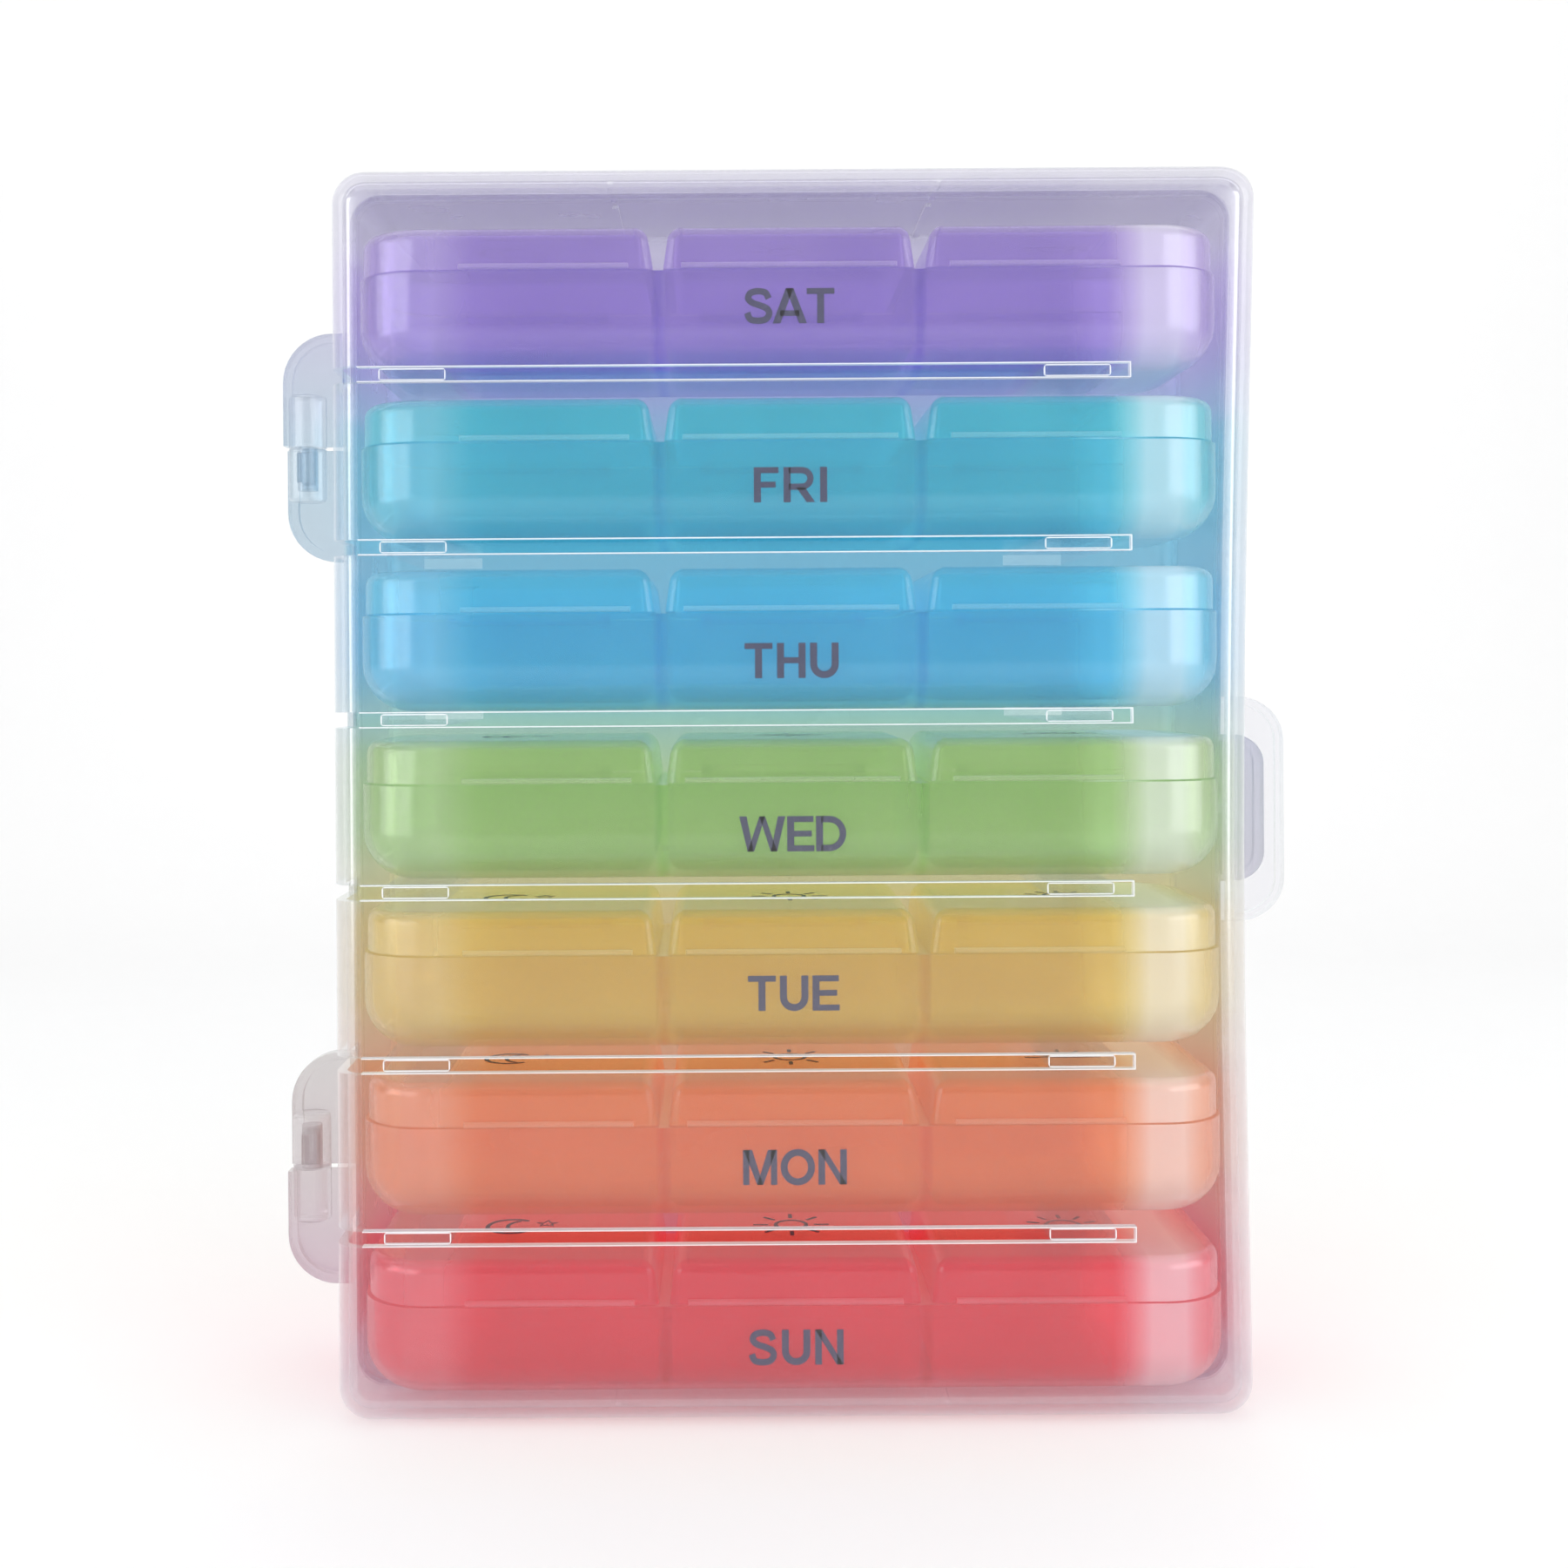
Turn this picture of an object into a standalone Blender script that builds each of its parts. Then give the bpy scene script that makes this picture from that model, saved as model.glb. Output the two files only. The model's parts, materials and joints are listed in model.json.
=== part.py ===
"""Travel pill organizer: a clear hinged case that holds seven day boxes of three lidded compartments.

The case stands on its lower edge.  Its cover faces -Y and swings open on the left (-X).
Metres, +Z up, origin at the bottom centre of the whole object.
"""

import math

import bmesh
import bpy
from mathutils import Matrix, Vector

MM = 0.001
CLEARANCE = 0.3 * MM
BITE = 0.5 * MM                 # how far a joined feature reaches into its wall
WELD = 0.005 * MM

# Case: a back shell and a cover shell that meet at the parting plane
CASE_WIDTH = 151.0 * MM
CASE_HEIGHT = 206.0 * MM
CASE_DEPTH = 50.0 * MM
CASE_WALL = 1.6 * MM
CASE_CORNER = 5.5 * MM          # outline corners, seen from the front
CASE_EDGE = 4.7 * MM            # rounding round the front and back faces
COVER_DEPTH = 19.5 * MM
LIP_INSET = 0.9 * MM            # the back shell's lip lies this far inside the outline
LIP_THICKNESS = 0.65 * MM
LIP_REACH = 2.0 * MM            # how far the lip stands into the cover

# Ribs along the ceiling and the floor
RIB_X = (-29.5 * MM, 25.0 * MM)
RIB_WIDTH = 1.0 * MM
RIB_HEIGHT = 0.6 * MM

# Day boxes
DAYS = ("sun", "mon", "tue", "wed", "thu", "fri", "sat")
BOX_WIDTH = 145.0 * MM
BOX_DEPTH = 42.0 * MM
BOX_FRONT_SPACE = 3.0 * MM      # from the cover's outer face to the boxes
TRAY_HEIGHT = 16.0 * MM
TRAY_WALL = 1.2 * MM
TRAY_CORNER = 11.0 * MM
TRAY_FOOT_RADIUS = 8.0 * MM
DIVIDER_X = 21.65 * MM
DIVIDER_THICKNESS = 2.3 * MM
LID_HEIGHT = 7.1 * MM
LID_WALL = 1.0 * MM
LID_TOP_BEVEL = 1.4 * MM
LID_INNER_CORNER = 1.5 * MM
LID_GAP = 1.7 * MM              # between neighbouring lids at the seam
LID_END_INSET = 0.6 * MM        # from the tray's end to the lid's
LID_DRAFT = 1.0 * MM            # lean of the facing sides of neighbouring lids
RIDGE_DEPTH = 0.9 * MM
RIDGE_HEIGHT = 0.9 * MM
OUTER_RIDGE_LENGTH = 28.0 * MM
OUTER_RIDGE_INSET = 4.0 * MM    # from the lid's inner end to its ridge
MIDDLE_RIDGE_LENGTH = 35.5 * MM

# Lid hinges, behind the boxes
BARREL_RADIUS = 1.1 * MM
BARREL_STANDOFF = 1.5 * MM      # from the box's back to the hinge axis
BARREL_LENGTH = 26.0 * MM
WEB_THICKNESS = 0.9 * MM
EAR_WIDTH = 2.0 * MM
EAR_BELOW_RIM = 3.5 * MM
EAR_LEAN = 1.1 * MM

# Slots in the cover, and the rails of the back shell whose tips stand in them
SLOT_Z = 30.7 * MM
SLOT_PITCH = 28.25 * MM
SLOT_COUNT = 6
SLOT_HEIGHT = 2.6 * MM
SLOT_RIGHT_END = 55.6 * MM
SLOT_SIDE_REACH = 15.0 * MM     # along the cover's left wall
RAIL_HEIGHT = 1.9 * MM
RAIL_WIDTH = 10.9 * MM
RAIL_X = (-61.85 * MM, 46.95 * MM)
RAIL_TIP_INSET = 0.5 * MM       # from the cover's outer face

# Case hinges: two D-shaped lugs with split knuckles
LUG_Z = (38.0 * MM, 162.0 * MM)
LUG_HEIGHT = 39.0 * MM
LUG_REACH = 11.0 * MM
LUG_CORNER = 8.5 * MM
LUG_THICKNESS = 3.1 * MM
PLATE_SETBACK = 0.1 * MM        # lug and tab plates lie this far behind their shell's rim
KNUCKLE_RADIUS = 3.25 * MM
KNUCKLE_HEIGHT = 18.5 * MM
KNUCKLE_INSET = 0.3 * MM        # from the lug's outer edge to the knuckle
PIN_RADIUS = 1.4 * MM
SOCKET_RADIUS = 1.75 * MM
PIN_LENGTH = 6.2 * MM
SOCKET_DEPTH = 7.2 * MM
WINDOW_WIDTH = 2.6 * MM
WINDOW_NEAR = 0.9 * MM          # from the knuckle's split to the window
WINDOW_FAR = 6.0 * MM

# Thumb tabs and snap catches on the right
TAB_Z = 98.9 * MM
COVER_TAB = (38.6 * MM, 9.4 * MM, 7.5 * MM)     # height, reach, corner radius
BACK_TAB = (25.4 * MM, 7.0 * MM, 5.0 * MM)
TAB_THICKNESS = 2.6 * MM
CATCH_CENTRES = (-6.0 * MM, 6.3 * MM)           # from the tabs' middle height
CATCH_LENGTH = 10.8 * MM
CATCH_HEIGHT = 0.7 * MM
CATCH_DEPTH = 1.2 * MM
CATCH_FROM_LIP_TIP = 0.3 * MM

# Places worked out from the sizes above
FRONT = -CASE_DEPTH / 2
BACK = CASE_DEPTH / 2
HALF_WIDTH = CASE_WIDTH / 2
PARTING = FRONT + COVER_DEPTH
PLATE_GAP = CLEARANCE / 2 + PLATE_SETBACK
CASE_SHIFT = (LUG_REACH - COVER_TAB[1]) / 2     # centres the whole object on X
HINGE_X = -HALF_WIDTH - LUG_REACH + KNUCKLE_INSET + KNUCKLE_RADIUS
BOX_FRONT = FRONT + BOX_FRONT_SPACE
BOX_BACK = BOX_FRONT + BOX_DEPTH
LID_BASE = TRAY_HEIGHT + CLEARANCE
LID_TOP = LID_BASE + LID_HEIGHT
LID_AXIS_Y = BOX_BACK + BARREL_STANDOFF
LID_AXIS_Z = TRAY_HEIGHT + CLEARANCE / 2
BOTTOM_BOX_Z = CASE_WALL + RIB_HEIGHT + CLEARANCE

# Surface finishes: colour and roughness
CLEAR = ((0.84, 0.84, 0.90), 0.32)
DAY_FINISH = {
    "sun": ((0.62, 0.07, 0.09), 0.3),
    "mon": ((0.72, 0.22, 0.09), 0.3),
    "tue": ((0.66, 0.40, 0.09), 0.3),
    "wed": ((0.28, 0.46, 0.13), 0.3),
    "thu": ((0.08, 0.37, 0.62), 0.3),
    "fri": ((0.06, 0.38, 0.52), 0.3),
    "sat": ((0.25, 0.18, 0.52), 0.3),
}


# ---------------------------------------------------------------- scene

def clear_scene():
    for obj in list(bpy.data.objects):
        bpy.data.objects.remove(obj, do_unlink=True)


def new_collection(name):
    collection = bpy.data.collections.new(name)
    bpy.context.scene.collection.children.link(collection)
    return collection


def plastic(name, finish):
    """A Principled plastic of the given colour and roughness."""
    colour, roughness = finish
    material = bpy.data.materials.new(name)
    material.use_nodes = True
    shader = material.node_tree.nodes["Principled BSDF"]
    shader.inputs["Base Color"].default_value = (*colour, 1.0)
    shader.inputs["Roughness"].default_value = roughness
    shader.inputs["Metallic"].default_value = 0.0
    material.diffuse_color = (*colour, 1.0)
    return material


# ---------------------------------------------------------------- solids

def block(low, high):
    """A box between two opposite corners."""
    low = Vector(low)
    high = Vector(high)
    bm = bmesh.new()
    bmesh.ops.create_cube(bm, size=1.0)
    bmesh.ops.scale(bm, vec=high - low, verts=bm.verts)
    bmesh.ops.translate(bm, vec=(low + high) / 2, verts=bm.verts)
    return bm


def rod(centre, radius, length, axis, segments):
    """A cylinder centred on a point, along X or Z."""
    bm = bmesh.new()
    bmesh.ops.create_cone(bm, cap_ends=True, segments=segments, radius1=radius, radius2=radius, depth=length)
    if axis == "X":
        bmesh.ops.rotate(bm, cent=(0, 0, 0), matrix=Matrix.Rotation(math.pi / 2, 3, "Y"), verts=bm.verts)
    bmesh.ops.translate(bm, vec=centre, verts=bm.verts)
    return bm


def round_edges(bm, chosen, radius, segments):
    """Rounds the edges for which chosen(edge) is true."""
    edges = [edge for edge in bm.edges if chosen(edge)]
    bmesh.ops.bevel(bm, geom=edges, offset=radius, offset_type="OFFSET",
                    segments=segments, profile=0.5, affect="EDGES")


def runs_along(axis, least):
    """Chooses edges that advance more than the given length along an axis."""
    return lambda edge: abs(edge.verts[0].co[axis] - edge.verts[1].co[axis]) > least


def lies_on(axis, level):
    """Chooses edges that lie on a plane square to an axis."""
    return lambda edge: all(abs(vert.co[axis] - level) < 1e-6 for vert in edge.verts)


def to_object(bm, name, collection):
    mesh = bpy.data.meshes.new(name)
    bm.to_mesh(mesh)
    bm.free()
    obj = bpy.data.objects.new(name, mesh)
    collection.objects.link(obj)
    return obj


def hide_tool(obj):
    obj.hide_render = True
    obj.display_type = "WIRE"


def boolean(target, bm, operation, tools):
    """Adds a live Boolean modifier whose operand is kept among the tools."""
    tool = to_object(bm, f"{target.name}_{operation.lower()}_{len(target.modifiers):02d}", tools)
    hide_tool(tool)
    modifier = target.modifiers.new(tool.name, "BOOLEAN")
    modifier.operation = operation
    modifier.solver = "EXACT"
    modifier.object = tool


def finished_mesh(obj, name):
    """The object's evaluated mesh, shaded smooth except at sharp edges; the object itself goes."""
    graph = bpy.context.evaluated_depsgraph_get()
    mesh = bpy.data.meshes.new_from_object(obj.evaluated_get(graph))
    mesh.name = name
    bm = bmesh.new()
    bm.from_mesh(mesh)
    bmesh.ops.remove_doubles(bm, verts=bm.verts, dist=WELD)
    bm.to_mesh(mesh)
    bm.free()
    mesh.materials.clear()
    mesh.shade_smooth()
    mesh.set_sharp_from_angle(angle=math.radians(35))
    bpy.data.objects.remove(obj, do_unlink=True)
    return mesh


def place(name, mesh, location, material, parent, collection):
    """Puts a named object of its own, with its own material, on a mesh that others may share."""
    obj = bpy.data.objects.new(name, mesh)
    collection.objects.link(obj)
    obj.parent = parent
    obj.location = location
    if not mesh.materials:
        mesh.materials.append(None)
    obj.material_slots[0].link = "OBJECT"
    obj.material_slots[0].material = material
    return obj


# ---------------------------------------------------------------- case

def case_shell(name, face_y, open_y, tools):
    """A tray-like half of the case: rounded round its face, open at the other end."""
    low_y = min(face_y, open_y)
    high_y = max(face_y, open_y)
    bm = block((-HALF_WIDTH, low_y, 0), (HALF_WIDTH, high_y, CASE_HEIGHT))
    round_edges(bm, runs_along(1, COVER_DEPTH / 2), CASE_CORNER, 4)
    round_edges(bm, lies_on(1, face_y), CASE_EDGE, 3)
    mouth = [face for face in bm.faces if all(abs(vert.co.y - open_y) < 1e-6 for vert in face.verts)]
    bmesh.ops.delete(bm, geom=mouth, context="FACES")
    shell = to_object(bm, name, tools)
    walls = shell.modifiers.new("walls", "SOLIDIFY")
    walls.thickness = CASE_WALL
    walls.offset = -1.0
    walls.use_even_offset = True
    return shell


def outline_ring(inset, thickness, low_y, high_y):
    """A band that follows the case's outline, a given inset within it."""
    bm = outline_plug(inset, low_y, high_y)
    inner = outline_plug(inset + thickness, low_y, high_y)
    for piece in (bm, inner):
        ends = [face for face in piece.faces if abs(face.normal.y) > 0.9]
        bmesh.ops.delete(piece, geom=ends, context="FACES_ONLY")
    bmesh.ops.reverse_faces(inner, faces=inner.faces)
    spare = bpy.data.meshes.new("ring")
    inner.to_mesh(spare)
    inner.free()
    bm.from_mesh(spare)
    bpy.data.meshes.remove(spare)
    for level in (low_y, high_y):
        rims = [edge for edge in bm.edges if edge.is_boundary and lies_on(1, level)(edge)]
        bmesh.ops.bridge_loops(bm, edges=rims)
    bmesh.ops.recalc_face_normals(bm, faces=bm.faces)
    return bm


def outline_plug(inset, low_y, high_y):
    """A solid of the case's outline, a given inset within it."""
    bm = block((-HALF_WIDTH + inset, low_y, inset), (HALF_WIDTH - inset, high_y, CASE_HEIGHT - inset))
    round_edges(bm, runs_along(1, (high_y - low_y) / 2), CASE_CORNER - inset, 4)
    return bm


def side_plate(side, low_z, high_z, reach, corner, low_y, high_y, rounded_ends):
    """A flat lug on a side wall (side -1 or 1), rounded at its outer corners."""
    wall_x = side * (HALF_WIDTH - BITE)
    outer_x = side * (HALF_WIDTH + reach)
    bm = block((min(wall_x, outer_x), low_y, low_z), (max(wall_x, outer_x), high_y, high_z))
    across = runs_along(1, (high_y - low_y) / 2)

    def outer_corner(edge):
        at_outer = all(abs(vert.co.x - outer_x) < 1e-6 for vert in edge.verts)
        at_end = any(abs(edge.verts[0].co.z - level) < 1e-6 for level in rounded_ends)
        return across(edge) and at_outer and at_end

    round_edges(bm, outer_corner, corner, 4)
    return bm


def add_hinge_half(shell, lug_z, upward, on_cover, tools):
    """One shell's half of a hinge lug: its plate, and its knuckle with a pin or a socket."""
    sign = 1 if upward else -1
    near = lug_z + sign * CLEARANCE / 2
    plate_near = lug_z + sign * PLATE_GAP
    far = lug_z + sign * LUG_HEIGHT / 2
    knuckle_far = lug_z + sign * KNUCKLE_HEIGHT / 2
    if on_cover:
        low_y, high_y = PARTING - LUG_THICKNESS, PARTING - PLATE_GAP
    else:
        low_y, high_y = PARTING + PLATE_GAP, PARTING + LUG_THICKNESS
    low_z, high_z = sorted((plate_near, far))
    plate = side_plate(-1, low_z, high_z, LUG_REACH, LUG_CORNER, low_y, high_y, (far,))
    boolean(shell, plate, "UNION", tools)
    knuckle = rod((HINGE_X, PARTING, (near + knuckle_far) / 2), KNUCKLE_RADIUS,
                  abs(knuckle_far - near), "Z", 16)
    boolean(shell, knuckle, "UNION", tools)
    if on_cover:
        pin_high = near + sign * BITE
        pin_low = lug_z - sign * PIN_LENGTH
        pin = rod((HINGE_X, PARTING, (pin_high + pin_low) / 2), PIN_RADIUS,
                  abs(pin_high - pin_low), "Z", 12)
        boolean(shell, pin, "UNION", tools)
        return
    socket_end = lug_z + sign * SOCKET_DEPTH
    socket = rod((HINGE_X, PARTING, (lug_z - sign * BITE + socket_end) / 2), SOCKET_RADIUS,
                 SOCKET_DEPTH + BITE, "Z", 12)
    boolean(shell, socket, "DIFFERENCE", tools)
    window_z = sorted((lug_z + sign * WINDOW_NEAR, lug_z + sign * WINDOW_FAR))
    window = block((HINGE_X - WINDOW_WIDTH / 2, PARTING - 2 * KNUCKLE_RADIUS, window_z[0]),
                   (HINGE_X + WINDOW_WIDTH / 2, PARTING, window_z[1]))
    boolean(shell, window, "DIFFERENCE", tools)


def add_ribs(shell, low_y, high_y, tools):
    """Low ribs along the floor and the ceiling of a shell."""
    for rib_x in RIB_X:
        for inner_z, outer_z in ((CASE_WALL + RIB_HEIGHT, CASE_WALL - BITE),
                                 (CASE_HEIGHT - CASE_WALL - RIB_HEIGHT, CASE_HEIGHT - CASE_WALL + BITE)):
            rib = block((rib_x - RIB_WIDTH / 2, low_y, min(inner_z, outer_z)),
                        (rib_x + RIB_WIDTH / 2, high_y, max(inner_z, outer_z)))
            boolean(shell, rib, "UNION", tools)


def catch_spans(margin):
    """Low and high Z of each snap catch, widened by a margin."""
    half = CATCH_LENGTH / 2 + margin
    return [(TAB_Z + centre - half, TAB_Z + centre + half) for centre in CATCH_CENTRES]


def thumb_tab(size, low_y, high_y):
    height, reach, corner = size
    low_z = TAB_Z - height / 2
    high_z = TAB_Z + height / 2
    return side_plate(1, low_z, high_z, reach, corner, low_y, high_y, (low_z, high_z))


def slot_levels():
    return [SLOT_Z + index * SLOT_PITCH for index in range(SLOT_COUNT)]


def back_shell_mesh(tools):
    """The back shell with its lip, rails, ribs, hinge halves, thumb tab and catches."""
    shell = case_shell("case_back", BACK, PARTING + CLEARANCE / 2, tools)
    inner_back = BACK - CASE_WALL
    lip = outline_ring(LIP_INSET, LIP_THICKNESS, PARTING - LIP_REACH, PARTING + 2 * BITE)
    boolean(shell, lip, "UNION", tools)
    for level in slot_levels():
        for rail_x in RAIL_X:
            rail = block((rail_x - RAIL_WIDTH / 2, FRONT + RAIL_TIP_INSET, level - RAIL_HEIGHT / 2),
                         (rail_x + RAIL_WIDTH / 2, inner_back + BITE, level + RAIL_HEIGHT / 2))
            boolean(shell, rail, "UNION", tools)
    add_ribs(shell, PARTING + LIP_REACH, BACK - CASE_EDGE, tools)
    add_hinge_half(shell, LUG_Z[0], True, False, tools)
    add_hinge_half(shell, LUG_Z[1], False, False, tools)
    tab = thumb_tab(BACK_TAB, PARTING + PLATE_GAP, PARTING + TAB_THICKNESS)
    boolean(shell, tab, "UNION", tools)
    lip_x = HALF_WIDTH - LIP_INSET
    lip_tip = PARTING - LIP_REACH
    for low_z, high_z in catch_spans(0):
        catch = block((lip_x - LIP_THICKNESS / 2, lip_tip + CATCH_FROM_LIP_TIP, low_z),
                      (lip_x + CATCH_HEIGHT, lip_tip + CATCH_FROM_LIP_TIP + CATCH_DEPTH, high_z))
        boolean(shell, catch, "UNION", tools)
    return finished_mesh(shell, "case_back")


def cover_mesh(tools):
    """The cover with its rebate, slots, ribs, hinge halves, thumb tab and catch notches."""
    shell = case_shell("case_front", FRONT, PARTING - CLEARANCE / 2, tools)
    rebate_floor = PARTING - LIP_REACH - CLEARANCE
    boolean(shell, outline_plug(LIP_INSET - CLEARANCE, rebate_floor, PARTING + BITE), "DIFFERENCE", tools)
    add_ribs(shell, FRONT + CASE_EDGE, rebate_floor - BITE, tools)
    add_hinge_half(shell, LUG_Z[0], False, True, tools)
    add_hinge_half(shell, LUG_Z[1], True, True, tools)
    tab = thumb_tab(COVER_TAB, PARTING - TAB_THICKNESS, PARTING - PLATE_GAP)
    boolean(shell, tab, "UNION", tools)
    for level in slot_levels():
        slot = block((-HALF_WIDTH - BITE, FRONT - BITE, level - SLOT_HEIGHT / 2),
                     (SLOT_RIGHT_END, FRONT + SLOT_SIDE_REACH, level + SLOT_HEIGHT / 2))
        boolean(shell, slot, "DIFFERENCE", tools)
    for low_z, high_z in catch_spans(CLEARANCE):
        notch = block((HALF_WIDTH - CASE_WALL / 2, PARTING - LIP_REACH, low_z),
                      (HALF_WIDTH + BITE, PARTING + BITE, high_z))
        boolean(shell, notch, "DIFFERENCE", tools)
    return finished_mesh(shell, "case_front")


# ---------------------------------------------------------------- day boxes

def lid_spans():
    """Low and high X of each lid at the seam, by name."""
    end = BOX_WIDTH / 2
    inner = DIVIDER_X + LID_GAP / 2
    return {
        "left": (-end, -inner),
        "middle": (-DIVIDER_X + LID_GAP / 2, DIVIDER_X - LID_GAP / 2),
        "right": (inner, end),
    }


def box_form(inset, low_z, high_z):
    """The tray's outer form, or its hollow when inset."""
    bm = block((-BOX_WIDTH / 2 + inset, -BOX_DEPTH / 2 + inset, low_z),
               (BOX_WIDTH / 2 - inset, BOX_DEPTH / 2 - inset, high_z))
    round_edges(bm, runs_along(2, (high_z - low_z) / 2), TRAY_CORNER - inset, 3)
    round_edges(bm, lies_on(2, low_z), TRAY_FOOT_RADIUS - inset, 3)
    return bm


def hinge_ear(centre_x):
    """An ear on the tray's back that stands beside a lid's barrel, clear of the lid."""
    back = BOX_DEPTH / 2
    low_z = TRAY_HEIGHT - EAR_BELOW_RIM
    high_z = LID_AXIS_Z + BARREL_RADIUS
    inner_y = back - BITE
    bm = block((centre_x - EAR_WIDTH / 2, inner_y, low_z),
               (centre_x + EAR_WIDTH / 2, back + BARREL_STANDOFF + BARREL_RADIUS, high_z))
    leaning = [vert for vert in bm.verts if vert.co.z > high_z - 1e-6 and vert.co.y < inner_y + 1e-6]
    bmesh.ops.translate(bm, vec=(0, EAR_LEAN, 0), verts=leaning)
    return bm


def tray_mesh(tools):
    """A day box without its lids, about the middle of its base."""
    tray = to_object(box_form(0, 0, TRAY_HEIGHT), "tray", tools)
    hollow = to_object(box_form(TRAY_WALL, TRAY_WALL, TRAY_HEIGHT + TRAY_WALL), "tray_hollow", tools)
    hide_tool(hollow)
    for side in (-1, 1):
        centre_x = side * DIVIDER_X
        divider = block((centre_x - DIVIDER_THICKNESS / 2, -BOX_DEPTH, -TRAY_HEIGHT),
                        (centre_x + DIVIDER_THICKNESS / 2, BOX_DEPTH, 2 * TRAY_HEIGHT))
        boolean(hollow, divider, "DIFFERENCE", tools)
    compartments = tray.modifiers.new("compartments", "BOOLEAN")
    compartments.operation = "DIFFERENCE"
    compartments.solver = "EXACT"
    compartments.object = hollow
    for low_x, high_x in lid_spans().values():
        for side in (-1, 1):
            ear_x = (low_x + high_x) / 2 + side * (BARREL_LENGTH / 2 + CLEARANCE + EAR_WIDTH / 2)
            boolean(tray, hinge_ear(ear_x), "UNION", tools)
    return finished_mesh(tray, "tray")


def at_box_end(rounded_sides, low_x, high_x):
    """Chooses a lid's upright edges at the ends of the box."""
    ends = [high_x if side > 0 else low_x for side in rounded_sides]
    return lambda edge: runs_along(2, LID_HEIGHT / 2)(edge) and any(lies_on(0, end)(edge) for end in ends)


def at_gap(rounded_sides, low_x, high_x):
    """Chooses a lid's upright edges beside its neighbours."""
    at_end = at_box_end(rounded_sides, low_x, high_x)
    return lambda edge: abs(edge.verts[0].co.z - edge.verts[1].co.z) > LID_HEIGHT / 2 and not at_end(edge)


def lid_cap(low_x, high_x, rounded_sides):
    """A lid's outer form, which narrows upwards beside its neighbours."""
    bm = block((low_x, -BOX_DEPTH / 2, LID_BASE), (high_x, BOX_DEPTH / 2, LID_TOP))
    for side, level in ((-1, low_x), (1, high_x)):
        upper = [vert for vert in bm.verts if abs(vert.co.x - level) < 1e-6 and vert.co.z > LID_TOP - 1e-6]
        if side not in rounded_sides:
            bmesh.ops.translate(bm, vec=(-side * LID_DRAFT, 0, 0), verts=upper)
    round_edges(bm, at_gap(rounded_sides, low_x, high_x), LID_INNER_CORNER, 1)
    round_edges(bm, at_box_end(rounded_sides, low_x, high_x), TRAY_CORNER, 3)
    round_edges(bm, lies_on(2, LID_TOP), LID_TOP_BEVEL, 1)
    return bm


def lid_hollow(low_x, high_x, rounded_sides):
    """The straight-sided hollow under a lid."""
    low_inset = LID_WALL if -1 in rounded_sides else LID_WALL + LID_DRAFT
    high_inset = LID_WALL if 1 in rounded_sides else LID_WALL + LID_DRAFT
    low_x += low_inset
    high_x -= high_inset
    half_depth = BOX_DEPTH / 2 - LID_WALL
    bm = block((low_x, -half_depth, LID_BASE - LID_HEIGHT), (high_x, half_depth, LID_TOP - LID_WALL))
    round_edges(bm, at_box_end(rounded_sides, low_x, high_x), TRAY_CORNER - LID_WALL, 3)
    return bm


def lid_mesh(name, low_x, high_x, rounded_sides, ridge, tools):
    """A lid with its thumb ridge and hinge barrel, about its hinge axis at its middle."""
    cap_low = low_x + LID_END_INSET if -1 in rounded_sides else low_x
    cap_high = high_x - LID_END_INSET if 1 in rounded_sides else high_x
    lid = to_object(lid_cap(cap_low, cap_high, rounded_sides), name, tools)
    boolean(lid, lid_hollow(cap_low, cap_high, rounded_sides), "DIFFERENCE", tools)
    front = -BOX_DEPTH / 2
    thumb_ridge = block((ridge[0], front - RIDGE_DEPTH, LID_BASE),
                        (ridge[1], front + BITE, LID_BASE + RIDGE_HEIGHT))
    boolean(lid, thumb_ridge, "UNION", tools)
    middle_x = (low_x + high_x) / 2
    axis_y = BOX_DEPTH / 2 + BARREL_STANDOFF
    web_half = BARREL_LENGTH / 2 - BITE
    web = block((middle_x - web_half, BOX_DEPTH / 2 - BITE, LID_BASE),
                (middle_x + web_half, axis_y, LID_BASE + WEB_THICKNESS))
    boolean(lid, web, "UNION", tools)
    boolean(lid, rod((middle_x, axis_y, LID_AXIS_Z), BARREL_RADIUS, BARREL_LENGTH, "X", 10), "UNION", tools)
    mesh = finished_mesh(lid, name)
    mesh.transform(Matrix.Translation((-middle_x, -axis_y, -LID_AXIS_Z)))
    return mesh


def lid_meshes(tools):
    """One mesh for each kind of lid."""
    spans = lid_spans()
    middle_half = MIDDLE_RIDGE_LENGTH / 2
    left_ridge_end = spans["left"][1] - OUTER_RIDGE_INSET
    ridges = {
        "left": (left_ridge_end - OUTER_RIDGE_LENGTH, left_ridge_end),
        "middle": (-middle_half, middle_half),
        "right": (-left_ridge_end, -left_ridge_end + OUTER_RIDGE_LENGTH),
    }
    rounded = {"left": (-1,), "middle": (), "right": (1,)}
    return {kind: lid_mesh(f"lid_{kind}", *spans[kind], rounded[kind], ridges[kind], tools) for kind in spans}


def box_levels():
    """The height of each day box's base, from the bottom up: the first on the floor, the rest on the rails."""
    return [BOTTOM_BOX_Z] + [level + RAIL_HEIGHT / 2 + CLEARANCE for level in slot_levels()]


# ---------------------------------------------------------------- assembly

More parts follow.
